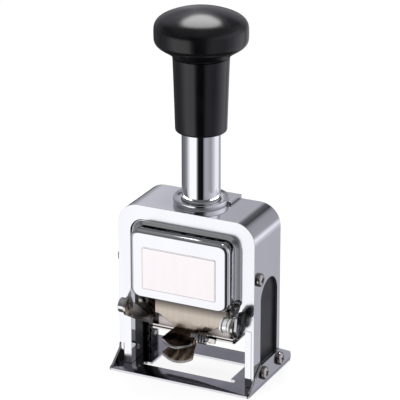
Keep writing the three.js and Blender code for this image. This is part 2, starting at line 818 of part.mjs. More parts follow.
const wheelPlace = (index) => (index - (wheelCount - 1) / 2) * wheelPitch;
const laneLeft = (index) => wheelPlace(index) - (wheelPitch - runGap) / 2 + typeWidth + laneMargin;
const laneRight = (index) => wheelPlace(index) + (wheelPitch - runGap) / 2 - laneMargin + runGap / 2;

// Feed yoke: swings on the axle, outside the wheels, and carries the pawl comb above them
function onCircle(radius, degrees) {
  const angle = degrees * Math.PI / 180;
  return [radius * Math.cos(angle), wheelHeight + radius * Math.sin(angle)];
}

function armOutline(radius, reach, width, degrees) {
  const angle = degrees * Math.PI / 180;
  const along = new THREE.Vector2(Math.cos(angle), Math.sin(angle));
  const acrossWay = new THREE.Vector2(-along.y, along.x);
  const corner = (a, b) => [a * along.x + b * acrossWay.x, wheelHeight + a * along.y + b * acrossWay.y];
  return polygon([corner(radius / 2, -width), corner(reach, -width), corner(reach, width), corner(radius / 2, width)]);
}

const pawlReach = wheelRadius + runGap + pawlRodRadius + runGap;
const [pawlY, pawlZ] = onCircle(pawlReach, yokeStartAngle);

function feedYoke() {
  const parts = sides.flatMap(([, sign]) => {
    const [x0, x1] = span(sign, yokeInner, yokeOuter);
    const ring = rodX(yokeRing, x0, x1, 0, wheelHeight);
    return [ring, slabX(armOutline(yokeRing, yokeReach, yokeBar, yokeStartAngle), x0, x1)];
  });
  const barOutline = armOutline(2 * (yokeReach - yokeBar), yokeReach, yokeBar, yokeStartAngle);
  parts.push(slabX(barOutline, -yokeOuter, yokeOuter));
  const bore = rodX(axleRadius + runGap, -yokeOuter - overrun, yokeOuter + overrun, 0, wheelHeight);
  const pawlHole = rodX(pawlRodRadius + runGap, -yokeOuter - overrun, yokeOuter + overrun, pawlY, pawlZ);
  return joined(parts).subtract(bore).subtract(pawlHole);
}

// Pawl comb: a rod that turns in the yoke's arms, with one finger for each ratchet
function feedPawl() {
  const tipReach = ratchetRadius + runGap;
  const rod = rodX(pawlRodRadius, -yokeOuter, yokeOuter, pawlY, pawlZ);
  const fingers = [];
  for (let index = 0; index < wheelCount; index += 1) {
    const outline = armOutline(2 * tipReach, pawlReach, pawlThickness / 2, yokeStartAngle);
    fingers.push(slabX(outline, laneLeft(index), laneRight(index)));
  }
  return joined([rod, ...fingers]);
}

// Detent comb: a fixed bar behind the wheels with one spring finger resting by each ratchet
function detentComb() {
  const z = wheelHeight + detentAbove;
  const bar = rodX(detentBar, -sideOuter, sideOuter, detentBack, z);
  const inner = ratchetRadius + runGap;
  const fingers = [];
  for (let index = 0; index < wheelCount; index += 1) {
    const finger = polygon([
      [inner, wheelHeight], [inner + detentSpring, wheelHeight],
      [detentBack + detentSpring / 2, z], [detentBack - detentSpring / 2, z],
    ]);
    fingers.push(slabX(finger, laneLeft(index), laneRight(index)));
  }
  return joined([bar, ...fingers]);
}

// Ink pad holder: two arms drawn in to the width of the tray, the tray floor, its front lip and a stop
function padTray() {
  const ribbon = (sign) => {
    const x = (value) => sign * value;
    const inner = armOuter - armSheet;
    const trayInner = trayHalf - armSheet;
    return polygon([
      [x(armOuter), -pivotFront - armEye], [x(armOuter), -armBend], [x(trayHalf), -trayFront], [x(trayHalf), trayRear],
      [x(trayInner), trayRear], [x(trayInner), -trayFront], [x(inner), -armBend], [x(inner), -pivotFront - armEye],
    ]);
  };
  const profile = new THREE.Shape();
  const floorFront = -trayFront;
  profile.moveTo(trayRear, trayBottom);
  profile.lineTo(trayRear, trayWallTop);
  profile.lineTo(floorFront, trayWallTop + armSheet);
  profile.lineTo(-armBend, pivotHeight + armSheet);
  profile.lineTo(-pivotFront + armEye / 2, pivotHeight + armEye * Math.sin(Math.PI / 3));
  profile.absarc(-pivotFront, pivotHeight, armEye, Math.PI / 3, 1.35 * Math.PI, false);
  profile.lineTo(floorFront - armSheet, trayWallTop - 2 * armSheet);
  profile.lineTo(floorFront, trayBottom);
  const arms = sides.map(([, sign]) => {
    const side = slabX(profile, ...span(sign, trayHalf / 2, armOuter + overrun));
    return slabZ(ribbon(sign), 0, housingTop).intersect(side);
  });
  const right = trayHalf - armSheet / 2;
  const floor = box(-right, right, -trayFront, trayRear, trayBottom, trayBottom + armSheet);
  const lip = box(-right, right, -trayFront, armSheet / 2 - trayFront, trayBottom, trayBottom + 2 * armSheet);
  const stop = box(stopLeft, stopLeft + stopWidth, -trayFront - armSheet, armSheet / 2 - trayFront,
    trayBottom - stopDrop, trayBottom + armSheet);
  const bore = rodX(pivotPinRadius + runGap, -half, half, -pivotFront, pivotHeight);
  return joined([...arms, floor, lip, stop]).subtract(bore);
}

function inkPad() {
  const reach = trayHalf - armSheet - padInset;
  return slabZ(roundedRectangle(-reach, reach, armSheet - trayFront, trayRear - seatGap, armSheet), padTop - padThickness, padTop);
}

// Shield: the plate in front of the wheels, with its lower corners cut. A tongue left of its middle carries the
// finger tab: two flared lips, one above the other, that sag and reach furthest in their middle.
function padShield() {
  const plateFoot = tabRoot - tabSheet;
  const outline = polygon([
    [-shieldFootHalf, plateFoot], [shieldFootHalf, plateFoot], [shieldFootHalf, tabRoot],
    [shieldShoulderHalf, shieldShoulder], [shieldHalf, shieldShoulder], [shieldHalf, shieldTop],
    [-shieldHalf, shieldTop], [-shieldHalf, shieldShoulder], [-shieldShoulderHalf, shieldShoulder],
    [-shieldFootHalf, tabRoot],
  ]);
  const plate = slabY(outline, -shieldFront, shieldThickness - shieldFront);
  const tongue = box(-tabAside - tabRootHalf, tabRootHalf - tabAside, -shieldFront, shieldThickness - shieldFront,
    tabLowerRoot - tabSheet / 2, tabRoot);
  const lip = (root, bow, sag) => sheet((s, t) => {
    const share = 2 * s - 1;
    const middle = 1 - share ** 2;
    const width = tabRootHalf + (tabHalf - tabRootHalf) * t;
    return new THREE.Vector3(share * width - tabAside, -shieldMiddle - (tabReach + bow * middle) * t,
      root - tabEndsDrop * t - sag * middle * t ** 1.5);
  }, 8, 5, tabSheet);
  const lips = [lip(tabRoot - tabSheet / 2, tabUpperBow, tabUpperSag), lip(tabLowerRoot, tabLowerBow, tabLowerSag)];
  const lipTop = trayBottom + 2 * armSheet + seatGap;
  const foot = box(-shieldFootHalf, shieldFootHalf, -shieldFront, footDepth - trayFront, lipTop, lipTop + shieldThickness);
  const pin = rodX(catchPinRadius, catchLeft - catchAside - tabSheet, catchLeft + catchLength + tabSheet,
    -catchFront, catchHeight);
  return joined([plate, tongue, ...lips, foot, pin]);
}

const sleeveRight = armOuter - armSheet - sleeveInset;
const sleeveLeft = sleeveRight - sleeveLength;

function pivotSleeve() {
  return rodX(sleeveRadius, sleeveLeft, sleeveRight, -pivotFront, pivotHeight)
    .subtract(rodX(pivotPinRadius + runGap, 0, half, -pivotFront, pivotHeight));
}

// Fixed pieces that carry the holder: a round lug on the left leg and a plate lug on the right leg, each with a pin
function leftLug() {
  const right = -armOuter - runGap;
  const left = right - leftLugLength;
  const barrel = rodX(leftLugRadius, left, right, -pivotFront, pivotHeight);
  const foot = box(left, Math.min(right, -openingHalf - seatGap), -pivotFront, -housingFront - seatGap,
    pivotHeight - leftLugRadius / 2, pivotHeight + leftLugRadius / 2);
  return barrel.add(foot).subtract(rodX(pivotPinRadius + seatGap, left - overrun, right + overrun,
    -pivotFront, pivotHeight));
}

function rightLug() {
  const left = armOuter + runGap;
  const right = left + lugThickness;
  const shape = new THREE.Shape();
  const top = pivotHeight + thumbRise;
  const back = -housingFront - seatGap;
  shape.moveTo(back, pivotHeight - lugEye / 2);
  shape.lineTo(back, top + lugNose / 2);
  shape.lineTo(-pivotFront + lugNose / 2, top + lugNose * Math.sin(Math.PI / 3));
  shape.absarc(-pivotFront, top, lugNose, Math.PI / 3, Math.PI, false);
  shape.absarc(-pivotFront, pivotHeight, lugEye, Math.PI, 3 * Math.PI / 2, false);
  return slabX(shape, left, right)
    .subtract(rodX(pivotPinRadius + seatGap, left - overrun, right + overrun, -pivotFront, pivotHeight))
    .subtract(rodX(thumbStem + runGap, left - overrun, right + overrun, -pivotFront, top));
}

function thumbScrew() {
  const left = armOuter + runGap + lugThickness + runGap;
  const right = left + thumbLength;
  const ring = [];
  for (let i = 0; i < 2 * thumbRidges; i += 1) {
    const radius = thumbRadius - (i % 2) * thumbGroove;
    const angle = Math.PI * i / thumbRidges;
    ring.push([radius * Math.cos(angle), radius * Math.sin(angle)]);
  }
  const knob = slabX(polygon(ring), 0, thumbLength);
  const stem = rodX(thumbStem, -lugThickness - runGap, thumbLength / 2, 0, 0);
  piece('thumb_screw', knob.add(stem), blackSteel, left, -pivotFront, pivotHeight + thumbRise);
  return right;
}

// Catch spring beside the tab: a small coil lying along X
function catchSpring() {
  const curve = new Helix(catchRadius, catchLength, catchTurns);
  return wireAlong(curve, catchWire, catchTurns * stepsPerTurn).applyMatrix4(turnToX);
}

piece('foot_plate', footPlate(), chrome);
piece('housing', housing(), chrome);
piece('right_leg_plate', rightLegPlate(), chrome);
piece('rear_plate', rearPlate(), chrome);
piece('collar', collar(), chrome);
piece('front_cover', frontCover(), chrome);
piece('label_plate', labelPlate(), labelFoil);

const springGeometry = returnSpring();
for (const [side, sign] of sides) {
  piece(`side_guide_${side}`, sideGuide(sign), blackSteel);
  sideScrew(`ear_screw_front_${side}`, sign, earOuter + seatGap / 2, -frontScrewSetback, earScrewHeight);
  sideScrew(`ear_screw_rear_${side}`, sign, earOuter + seatGap / 2, rearScrewSetback, earScrewHeight);
  sideScrew(`guide_screw_${side}`, sign, half + seatGap / 2, -sideScrewSetback, sideScrewHeight);
  const rear = piece(`rear_screw_${side}`, rearScrew(), steel, sign * rearScrewX, rearPlateFace + seatGap / 2,
    rearScrewZ);
  rear.rotation.x = -Math.PI / 2;
  piece(`guide_rod_${side}`, rodZ(rodRadius, sign * rodOffset, 0, seatHeight, guideRodTop()), steel);
  piece(`return_spring_${side}`, springGeometry, springSteel, sign * rodOffset, 0, seatHeight + springWire);
}
piece('pad_lug_left', leftLug(), chrome);
piece('pad_lug_right', rightLug(), steel);
piece('pad_pivot_left', rodX(pivotPinRadius, -armOuter - runGap - leftLugLength,
  armSheet + pinEnd - armOuter, -pivotFront, pivotHeight), steel);
piece('pad_pivot_right', rodX(pivotPinRadius, sleeveLeft, armOuter + runGap + lugThickness,
  -pivotFront, pivotHeight), steel);
thumbScrew();

piece('plunger_shaft', shaft(), chrome);
piece('knob_neck', knobNeck(), blackPlastic);
piece('knob_cap', knobCap(), blackPlastic);
piece('carriage_head', carriageHead(), blackSteel);
for (const [side, sign] of sides) {
  piece(`carriage_side_${side}`, carriageSide(sign), blackSteel);
  piece(`axle_clip_${side}`, retainingClip(sign), springSteel);
}
piece('carriage_tie_rod', rodX(tieRadius, -sideOuter, sideOuter, -tieBack, wheelHeight + tieAbove), steel);
piece('wheel_axle', rodX(axleRadius, -axleHalf, axleHalf, 0, wheelHeight), steel);
piece('detent_comb', detentComb(), springSteel);
piece('feed_yoke', feedYoke(), steel);
piece('feed_pawl', feedPawl(), steel);
const wheelGeometry = geometryOf(numberWheel());
for (let index = 0; index < wheelCount; index += 1) {
  piece(`number_wheel_${index + 1}`, wheelGeometry, steel, wheelPlace(index), 0, wheelHeight);
}

piece('pad_tray', padTray(), nickel);
piece('pad_shield', padShield(), nickel);
piece('ink_pad', inkPad(), felt);
piece('pivot_sleeve', pivotSleeve(), chrome);
piece('catch_spring', catchSpring(), springSteel, catchLeft, -catchFront, catchHeight);

// The middle of the footprint becomes the origin
machine.updateMatrixWorld(true);
machine.position.y = -new THREE.Box3().setFromObject(machine).getCenter(new THREE.Vector3()).y;

export default machine;
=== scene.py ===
import json
import math

import bmesh
import bpy
from mathutils import Matrix, Vector

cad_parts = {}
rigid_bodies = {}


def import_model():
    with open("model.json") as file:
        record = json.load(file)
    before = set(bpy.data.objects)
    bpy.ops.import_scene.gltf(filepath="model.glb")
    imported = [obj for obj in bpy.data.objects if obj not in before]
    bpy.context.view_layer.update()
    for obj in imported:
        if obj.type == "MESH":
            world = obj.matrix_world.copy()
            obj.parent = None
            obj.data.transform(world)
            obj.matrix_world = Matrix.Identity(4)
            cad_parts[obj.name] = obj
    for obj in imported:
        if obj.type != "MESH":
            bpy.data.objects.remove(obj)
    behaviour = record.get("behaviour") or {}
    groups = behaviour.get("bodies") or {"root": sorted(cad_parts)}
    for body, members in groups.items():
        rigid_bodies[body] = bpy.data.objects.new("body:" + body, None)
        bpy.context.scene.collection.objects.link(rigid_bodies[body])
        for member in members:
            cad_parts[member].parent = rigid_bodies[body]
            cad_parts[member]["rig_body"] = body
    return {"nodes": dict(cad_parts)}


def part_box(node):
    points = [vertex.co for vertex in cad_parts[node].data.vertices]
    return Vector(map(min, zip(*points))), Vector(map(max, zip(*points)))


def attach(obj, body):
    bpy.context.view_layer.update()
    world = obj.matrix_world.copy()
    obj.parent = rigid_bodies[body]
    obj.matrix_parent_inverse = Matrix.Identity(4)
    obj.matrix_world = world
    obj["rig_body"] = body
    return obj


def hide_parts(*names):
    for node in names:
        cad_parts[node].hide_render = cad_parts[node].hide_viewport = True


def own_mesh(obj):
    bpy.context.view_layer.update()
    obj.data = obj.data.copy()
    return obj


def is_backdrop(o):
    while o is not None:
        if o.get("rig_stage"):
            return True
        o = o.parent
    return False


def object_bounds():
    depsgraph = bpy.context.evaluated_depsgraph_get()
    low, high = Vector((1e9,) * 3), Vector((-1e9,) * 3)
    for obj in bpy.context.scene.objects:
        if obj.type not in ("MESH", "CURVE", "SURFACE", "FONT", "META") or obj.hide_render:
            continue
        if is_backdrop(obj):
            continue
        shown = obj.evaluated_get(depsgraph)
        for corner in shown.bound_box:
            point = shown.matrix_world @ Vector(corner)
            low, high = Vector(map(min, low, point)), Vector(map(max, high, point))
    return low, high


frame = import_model()
cad_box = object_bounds()

# The camera stands in front, to the right of the machine and above it, about a metre away, with the long lens
# of a catalogue photograph. mm is one millimetre, and axis_y is where the plunger stands in depth.
mm = 0.001
axis_y = (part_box("plunger_shaft")[0].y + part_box("plunger_shaft")[1].y) / 2
focal_length = 224.6
film_width = 36
eye = Vector((410.71 * mm, -844.70 * mm + axis_y, 443.14 * mm))
right = Vector((0.8991, 0.4377, 0)).normalized()
forward = Vector((-0.4073, 0.8365, -0.3665)).normalized()
lens = bpy.data.cameras.new("catalogue_lens")
lens.lens = focal_length
lens.sensor_width = film_width
camera = bpy.data.objects.new("camera", lens)
camera.matrix_world = Matrix.Translation(eye) @ Matrix(
    (right, right.cross(forward), -forward)).transposed().to_4x4()
bpy.context.scene.collection.objects.link(camera)
bpy.context.scene.camera = camera
bpy.context.scene.view_settings.view_transform = "Standard"


# Shader maths: a number that varies over a surface takes Python's own operators, and Finish holds one
# material and its nodes.
class Varying:
    def __init__(self, tree, socket):
        self.tree = tree
        self.socket = socket

    def maths(self, operation, *others, first=None):
        node = self.tree.nodes.new("ShaderNodeMath")
        node.operation = operation
        values = ([first] if first is not None else []) + [self, *others]
        for socket, value in zip(node.inputs, values):
            if isinstance(value, Varying):
                self.tree.links.new(value.socket, socket)
            else:
                socket.default_value = value
        return Varying(self.tree, node.outputs[0])

    def __add__(self, other):
        return self.maths("ADD", other)

    def __sub__(self, other):
        return self.maths("SUBTRACT", other)

    def __rsub__(self, other):
        return self.maths("SUBTRACT", first=other)

    def __mul__(self, other):
        return self.maths("MULTIPLY", other)

    def __truediv__(self, other):
        return self.maths("DIVIDE", other)

    def above(self, start, end):
        """0 below start and 1 above end, straight in between; start may be the higher one."""
        node = self.tree.nodes.new("ShaderNodeMapRange")
        self.tree.links.new(self.socket, node.inputs["Value"])
        node.inputs["From Min"].default_value = start
        node.inputs["From Max"].default_value = end
        return Varying(self.tree, node.outputs[0])

    __radd__ = __add__
    __rmul__ = __mul__


class Finish:
    def __init__(self, name, color, roughness, metallic=0.0, coat=0.0, slot=None, owner=None):
        self.slot = slot
        self.material = owner or bpy.data.materials.new(name)
        self.material.use_nodes = True
        self.tree = self.material.node_tree
        self.tree.nodes.clear()
        if owner is None:
            self.surface = self.tree.nodes.new("ShaderNodeBsdfPrincipled")
            self.surface.inputs["Base Color"].default_value = (*color, 1)
            self.surface.inputs["Roughness"].default_value = roughness
            self.surface.inputs["Metallic"].default_value = metallic
            self.surface.inputs["Coat Weight"].default_value = coat
            output = self.tree.nodes.new("ShaderNodeOutputMaterial")
            self.tree.links.new(self.surface.outputs[0], output.inputs["Surface"])

    def node(self, kind, settings=None, inputs=None, output=0):
        """Adds one node: its settings first, then the values or links of its sockets."""
        node = self.tree.nodes.new("ShaderNode" + kind)
        for key, value in (settings or {}).items():
            if key == "stops":
                ramp = node.color_ramp
                ramp.interpolation = "EASE"
                while len(ramp.elements) < len(value):
                    ramp.elements.new(0.5)
                for element, (place, color) in zip(ramp.elements, value):
                    element.position = place
                    element.color = color if len(color) == 4 else (*color, 1)
            else:
                setattr(node, key, value)
        for key, value in (inputs or {}).items():
            if isinstance(value, Varying):
                self.tree.links.new(value.socket, node.inputs[key])
            else:
                node.inputs[key].default_value = value
        return Varying(self.tree, node.outputs[output])

    def feed(self, socket, value):
        self.tree.links.new(value.socket, self.surface.inputs[socket])

    def place(self, scale=(1, 1, 1)):
        """Object coordinates, stretched by scale."""
        coordinates = self.node("TexCoord", output="Object")
        return self.node("Mapping", {}, {"Vector": coordinates, "Scale": scale})

    def axis(self, letter):
        """One object coordinate."""
        split = self.tree.nodes.new("ShaderNodeSeparateXYZ")
        self.tree.links.new(self.node("TexCoord", output="Object").socket, split.inputs[0])
        return Varying(self.tree, split.outputs[letter])

    def noise(self, scale, detail=3, stretch=(1, 1, 1), roughness=0.5):
        return self.node("TexNoise", {}, {"Vector": self.place(stretch), "Scale": scale, "Detail": detail,
                                          "Roughness": roughness})

    def mix(self, mask, low, high):
        """Two colours mixed by a mask."""
        node = self.tree.nodes.new("ShaderNodeMix")
        node.data_type = "RGBA"
        for socket, value in ((node.inputs[0], mask), (node.inputs[6], low), (node.inputs[7], high)):
            if isinstance(value, Varying):
                self.tree.links.new(value.socket, socket)
            else:
                socket.default_value = (*value, 1) if isinstance(value, tuple) else value
        return Varying(self.tree, node.outputs[2])

    def bump(self, height, strength, distance):
        node = self.node("Bump", {}, {"Height": height, "Strength": strength, "Distance": distance})
        self.feed("Normal", node)


def grey(level):
    """Linear light for a grey of this level out of 255."""
    value = level / 255
    return value / 12.92 if value <= 0.04045 else ((value + 0.055) / 1.055) ** 2.4


# The studio: a white surround for the camera. Polished metal mirrors rings of soft boxes and dark gaps instead,
# one low around the table, one at the height of the walls and one above them, and dull surfaces see plain light.
world = bpy.data.worlds.new("studio")
bpy.context.scene.world = world
studio = Finish("studio", None, None, owner=world)
direction = studio.node("TexCoord", output="Generated")
compass = studio.tree.nodes.new("ShaderNodeSeparateXYZ")
studio.tree.links.new(direction.socket, compass.inputs[0])
across, deep, height = (Varying(studio.tree, socket) for socket in compass.outputs)
around = across.maths("ARCTAN2", deep * -1) / (2 * math.pi) + 0.5
lavender = 1.045


def ring(*stops):
    """Light all around, a little lavender: stops of (degrees from the front towards the right, grey level)."""
    return studio.node("ValToRGB", {"stops": [
        (angle / 360 + 0.5, (grey(level), grey(level), grey(min(255, level * lavender)))) for angle, level in stops]},
        {"Fac": around})


table_ring = ring((-180, 190), (-172, 165), (-163, 50), (-140, 45), (-118, 100), (-92, 106), (-70, 140), (-54, 205),
                  (-42, 252), (-6, 252), (4, 110), (10, 20), (36, 12), (42, 130), (52, 162), (85, 147), (105, 190),
                  (120, 232), (148, 238), (152.5, 184), (155.5, 168), (162, 160), (180, 190))
wall_ring = ring((-180, 150), (-168, 160), (-156, 163), (-151, 190), (-146, 150), (-115, 130),
                 (-70, 110), (-50, 100), (-8, 90), (4, 25), (30, 40), (60, 170), (120, 220), (140, 200), (149, 148),
                 (165, 142), (180, 150))
upper_ring = ring((-180, 80), (-173, 90), (-166, 135), (-157, 180), (-146, 200), (-125, 150), (-100, 90), (-70, 90),
                  (-45, 110), (-10, 100), (30, 80), (90, 150), (150, 150), (163, 120), (173, 66), (180, 80))
floor = (grey(70),) * 3
ceiling = (grey(125),) * 3
lost_in_chrome = 1.14
plain_light = (0.62, 0.62, 0.63)
low_light = studio.mix(height.above(-0.75, -0.58), floor, table_ring)
side_light = studio.mix(height.above(-0.16, 0.02), low_light, wall_ring)
high_light = studio.mix(height.above(0.42, 0.5), side_light, upper_ring)
whole_light = studio.mix(height.above(0.66, 0.8), high_light, ceiling)
mirrored = studio.node("VectorMath", {"operation": "SCALE"}, {"Vector": whole_light, "Scale": lost_in_chrome})
rays = studio.tree.nodes.new("ShaderNodeLightPath")
seen = Varying(studio.tree, rays.outputs["Is Camera Ray"])
shiny = Varying(studio.tree, rays.outputs["Is Glossy Ray"])
colour = studio.mix(seen, studio.mix(shiny, plain_light, mirrored), (1.0, 1.0, 1.0))
sky = studio.node("Background", {}, {"Color": colour, "Strength": 1.0})
surround = studio.tree.nodes.new("ShaderNodeOutputWorld")
studio.tree.links.new(sky.socket, surround.inputs["Surface"])

# The table: a plain white sheet under the machine, which glows a little so that it stays pale. The metal doesn't
# mirror it, since the rings stand in for it.
table_half = 3
table_drop = -0.02 * mm
table_glow = 0.86
table_mesh = bmesh.new()
bmesh.ops.create_grid(table_mesh, x_segments=1, y_segments=1, size=table_half)
table_data = bpy.data.meshes.new("table")
table_mesh.to_mesh(table_data)
table = bpy.data.objects.new("table", table_data)
table.location.z = table_drop
bpy.context.scene.collection.objects.link(table)
table_finish = Finish("white_table", (0.9, 0.9, 0.9), 0.8)
glow = table_finish.node("Emission", {}, {"Color": (1, 1, 1, 1), "Strength": 1.0})
shade = table_finish.tree.nodes.new("ShaderNodeMixShader")
table_finish.tree.links.new(table_finish.surface.outputs[0], shade.inputs[1])
table_finish.tree.links.new(glow.socket, shade.inputs[2])
shade.inputs[0].default_value = table_glow
table_finish.tree.links.new(shade.outputs[0], table_finish.tree.nodes["Material Output"].inputs["Surface"])
table.data.materials.append(table_finish.material)
table.visible_glossy = False
table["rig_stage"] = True


# The lamps: three large soft boxes that light the dull surfaces and aren't mirrored in the metal, and a small round
# one over the knob that makes the highlight on its cap.
def lamp(name, place, towards, power, size, depth=None):
    """A soft box at place that shines back along towards. It is square, or oval where its depth is given."""
    box = bpy.data.lights.new(name, "AREA")
    box.energy = power
    box.size = size
    if depth:
        box.shape = "ELLIPSE"
        box.size_y = depth
    hung = bpy.data.objects.new(name, box)
    hung.matrix_world = Matrix.Translation(place) @ towards.to_track_quat("Z", "Y").to_matrix().to_4x4()
    bpy.context.scene.collection.objects.link(hung)
    return hung


lit_spot = Vector((0, 0, 0.08))
for name, place, size, power in (("key", (-0.45, -0.7, 0.75), 0.5, 5.0), ("fill", (0.8, -0.4, 0.5), 0.6, 2.5),
                                 ("top", (0.0, 0.2, 0.9), 0.6, 4.0)):
    lamp(name + "_light", place, Vector(place) - lit_spot, power, size).visible_glossy = False
knob_top = Vector((0, 0, 0.152))
above_knob = Vector((-0.251, 0.516, 0.819))
softbox_distance = 0.35
lamp("overhead_softbox", above_knob * softbox_distance + knob_top, above_knob, 0.55, 0.2, 0.17)


# Foot plate: pressed and folded from one strip, with two ears and a window for the type. It is chromed like the
# housing, with a brushed top whose dark colour and patches are a painted reflection; the cut edges are bright.
def at(x, y, z):
    """A place measured in millimetres from the plunger axis and the paper."""
    return Vector((x, y, z)) * mm + Vector((0, axis_y, 0))


def part(name, mesh, finish, body, *nodes, smooth=30):
    """A finished piece on its body, in place of the nodes named."""
    for face in mesh.faces:
        face.smooth = True
    data = bpy.data.meshes.new(name)
    mesh.to_mesh(data)
    mesh.free()
    data.set_sharp_from_angle(angle=math.radians(smooth))
    piece = bpy.data.objects.new(name, data)
    data.materials.append(finish.material)
    bpy.context.scene.collection.objects.link(piece)
    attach(piece, body)
    if nodes:
        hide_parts(*nodes)
    return piece


def rounded(piece, width, segments=2, angle=35):
    """Breaks the sharp edges of a piece, by a width in millimetres."""
    bevel = piece.modifiers.new("broken_edges", "BEVEL")
    bevel.width = width * mm
    bevel.segments = segments
    bevel.limit_method = "ANGLE"
    bevel.angle_limit = math.radians(angle)
    bevel.use_clamp_overlap = True
    bevel.harden_normals = True


weld = 0.002 * mm
same_face = math.radians(0.5)


def cad_copy(node, whole=True):
    """The modelled shape of a node, welded, and with whole faces in place of its triangles."""
    mesh = bmesh.new()
    mesh.from_mesh(frame["nodes"][node].data)
    bmesh.ops.remove_doubles(mesh, verts=mesh.verts, dist=weld)
    if whole:
        bmesh.ops.dissolve_limit(mesh, angle_limit=same_face, use_dissolve_boundaries=False,
                                 verts=mesh.verts, edges=mesh.edges, delimit={"NORMAL"})
    return mesh


def dressed(node, finish, edge=0.15, segments=2):
    """A piece with the modelled shape itself and with broken edges."""
    piece = part(node + "_finish", cad_copy(node), finish, frame["nodes"][node]["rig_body"], node)
    rounded(piece, edge, segments)


plate_chrome = Finish("plate_chrome_painted_dark", (0.4, 0.4, 0.42), 0.2, 1, slot="chrome")
brushing = plate_chrome.noise(300, 5, (0.05, 1, 1))
# The top's dark colour and the large patches on it are painted reflection; the fine brushing is the grain.
painted_reflection_patches = plate_chrome.noise(90, 3, (1, 0.35, 1)).above(0.45, 0.7)
level = plate_chrome.axis("Z")
top_side = level.above(0.8 * mm, 0.95 * mm) * level.above(1.6 * mm, 1.2 * mm)
brushed_dark_reflection = plate_chrome.mix(brushing * 0.6 + painted_reflection_patches * 0.4, (0.24, 0.24, 0.265), (0.42, 0.41, 0.445))
plate_chrome.feed("Base Color", plate_chrome.mix(top_side, (0.66, 0.66, 0.69), brushed_dark_reflection))
plate_chrome.feed("Roughness", top_side * 0.05 + brushing * 0.06 + 0.05)
dressed("foot_plate", plate_chrome, 0.18)

# Housing: one deep drawn shell, chromed and polished, with a flange in front and behind and a slot in each
# side. The leg plate that closes the cut at the foot of its right flange is tacked on from inside.
chrome = Finish("polished_chrome", (0.86, 0.865, 0.88), 0.06, 1, slot="chrome")
haze = chrome.noise(60, 4, (1, 1, 0.3)).above(0.35, 0.9)
from_front = chrome.axis("Y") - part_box("housing")[0].y
lapped = from_front.above(0.3 * mm, 0.1 * mm) * from_front.above(-0.3 * mm, -0.1 * mm)
chrome.feed("Roughness", haze * 0.05 + lapped * 0.12 + 0.045)
chrome.feed("Base Color", chrome.mix(haze, (0.87, 0.875, 0.895), (0.82, 0.825, 0.84)))
dressed("housing", chrome, 0.45, segments=4)
dressed("right_leg_plate", chrome, 0.12)

# Side guides: black enamelled steel liners with a groove each, held by the ear screws and by the screw above
# each slot.
enamel = Finish("black_enamel", (0.012, 0.012, 0.014), 0.32, 0, slot="black_steel")
worn = enamel.noise(120, 3).above(0.4, 0.75)
enamel.feed("Base Color", enamel.mix(worn, (0.01, 0.01, 0.012), (0.022, 0.022, 0.026)))
enamel.surface.inputs["Specular IOR Level"].default_value = 0.2
enamel.bump(enamel.noise(900, 2), 0.15, 0.05 * mm)
for side in ("left", "right"):
    dressed("side_guide_" + side, enamel, 0.2)

# Guide rods, and the return springs around them: blackened steel rod and music wire. The springs push the plunger
# up and close as it comes down.
def coil(radius, wire, length, turns, sides=10, turn_steps=26):
    """A wire wound upwards around the Z axis from the origin, with closed ends."""
    mesh = bmesh.new()
    section = bmesh.ops.create_circle(mesh, cap_ends=False, radius=wire * mm, segments=sides)["verts"]
    bmesh.ops.rotate(mesh, verts=section, cent=(0, 0, 0), matrix=Matrix.Rotation(math.pi / 2, 3, "X"))
    bmesh.ops.translate(mesh, verts=section, vec=(radius * mm, 0, 0))
    steps = turns * turn_steps
    bmesh.ops.spin(mesh, geom=section + list(mesh.edges), cent=(0, 0, 0), axis=(0, 0, 1),
                   dvec=(0, 0, length * mm / steps), angle=2 * math.pi * turns, steps=steps)
    bmesh.ops.holes_fill(mesh, edges=[edge for edge in mesh.edges if edge.is_boundary], sides=0)
    bmesh.ops.recalc_face_normals(mesh, faces=mesh.faces)
    return mesh


blued = Finish("blued_wire", (0.05, 0.05, 0.055), 0.3, 1, slot="spring_steel")
blued.feed("Base Color", blued.mix(blued.noise(700, 3), (0.02, 0.02, 0.024), (0.07, 0.062, 0.055)))
rod_x = 25.0
spring_radius, spring_wire = 1.75, 0.35
spring_seat, spring_foot, spring_length, spring_turns = 1.2, 1.55, 49.8, 12
for side, x in (("left", -rod_x), ("right", rod_x)):
    dressed("guide_rod_" + side, blued, 0.15)
    spring = coil(spring_radius, spring_wire, spring_length, spring_turns)
    bmesh.ops.translate(spring, verts=spring.verts, vec=at(x, 0, spring_foot))
    wound = part("return_spring_coil_" + side, spring, blued, "frame", "return_spring_" + side, smooth=60)
    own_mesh(wound)

# Carriage: a milled head across the guides with two hanging sides, blackened, and a turned steel tie rod between
# them. The detent comb behind the wheels is spring strip.
black_steel = Finish("blackened_steel", (0.02, 0.02, 0.022), 0.4, 0.7, slot="black_steel")
rubbed = black_steel.noise(160, 4).above(0.5, 0.8)
black_steel.feed("Base Color", black_steel.mix(rubbed, (0.016, 0.016, 0.018), (0.06, 0.06, 0.064)))
black_steel.feed("Roughness", rubbed * 0.15 + 0.33)
for node in ("carriage_head", "carriage_side_left", "carriage_side_right"):
    dressed(node, black_steel, 0.2)
steel = Finish("machined_steel", (0.6, 0.6, 0.61), 0.25, 1, slot="steel")
cutting = steel.noise(1500, 3, (1, 0.08, 0.08))
steel.feed("Roughness", cutting * 0.14 + 0.17)
steel.feed("Base Color", steel.mix(cutting, (0.5, 0.5, 0.52), (0.68, 0.68, 0.69)))
bright_strip = Finish("spring_strip", (0.55, 0.55, 0.57), 0.28, 1, slot="spring_steel")
bright_strip.feed("Base Color", bright_strip.mix(bright_strip.noise(500, 4), (0.42, 0.42, 0.45), (0.62, 0.61, 0.6)))
dressed("carriage_tie_rod", steel, 0.15)
dressed("detent_comb", bright_strip, 0.08)

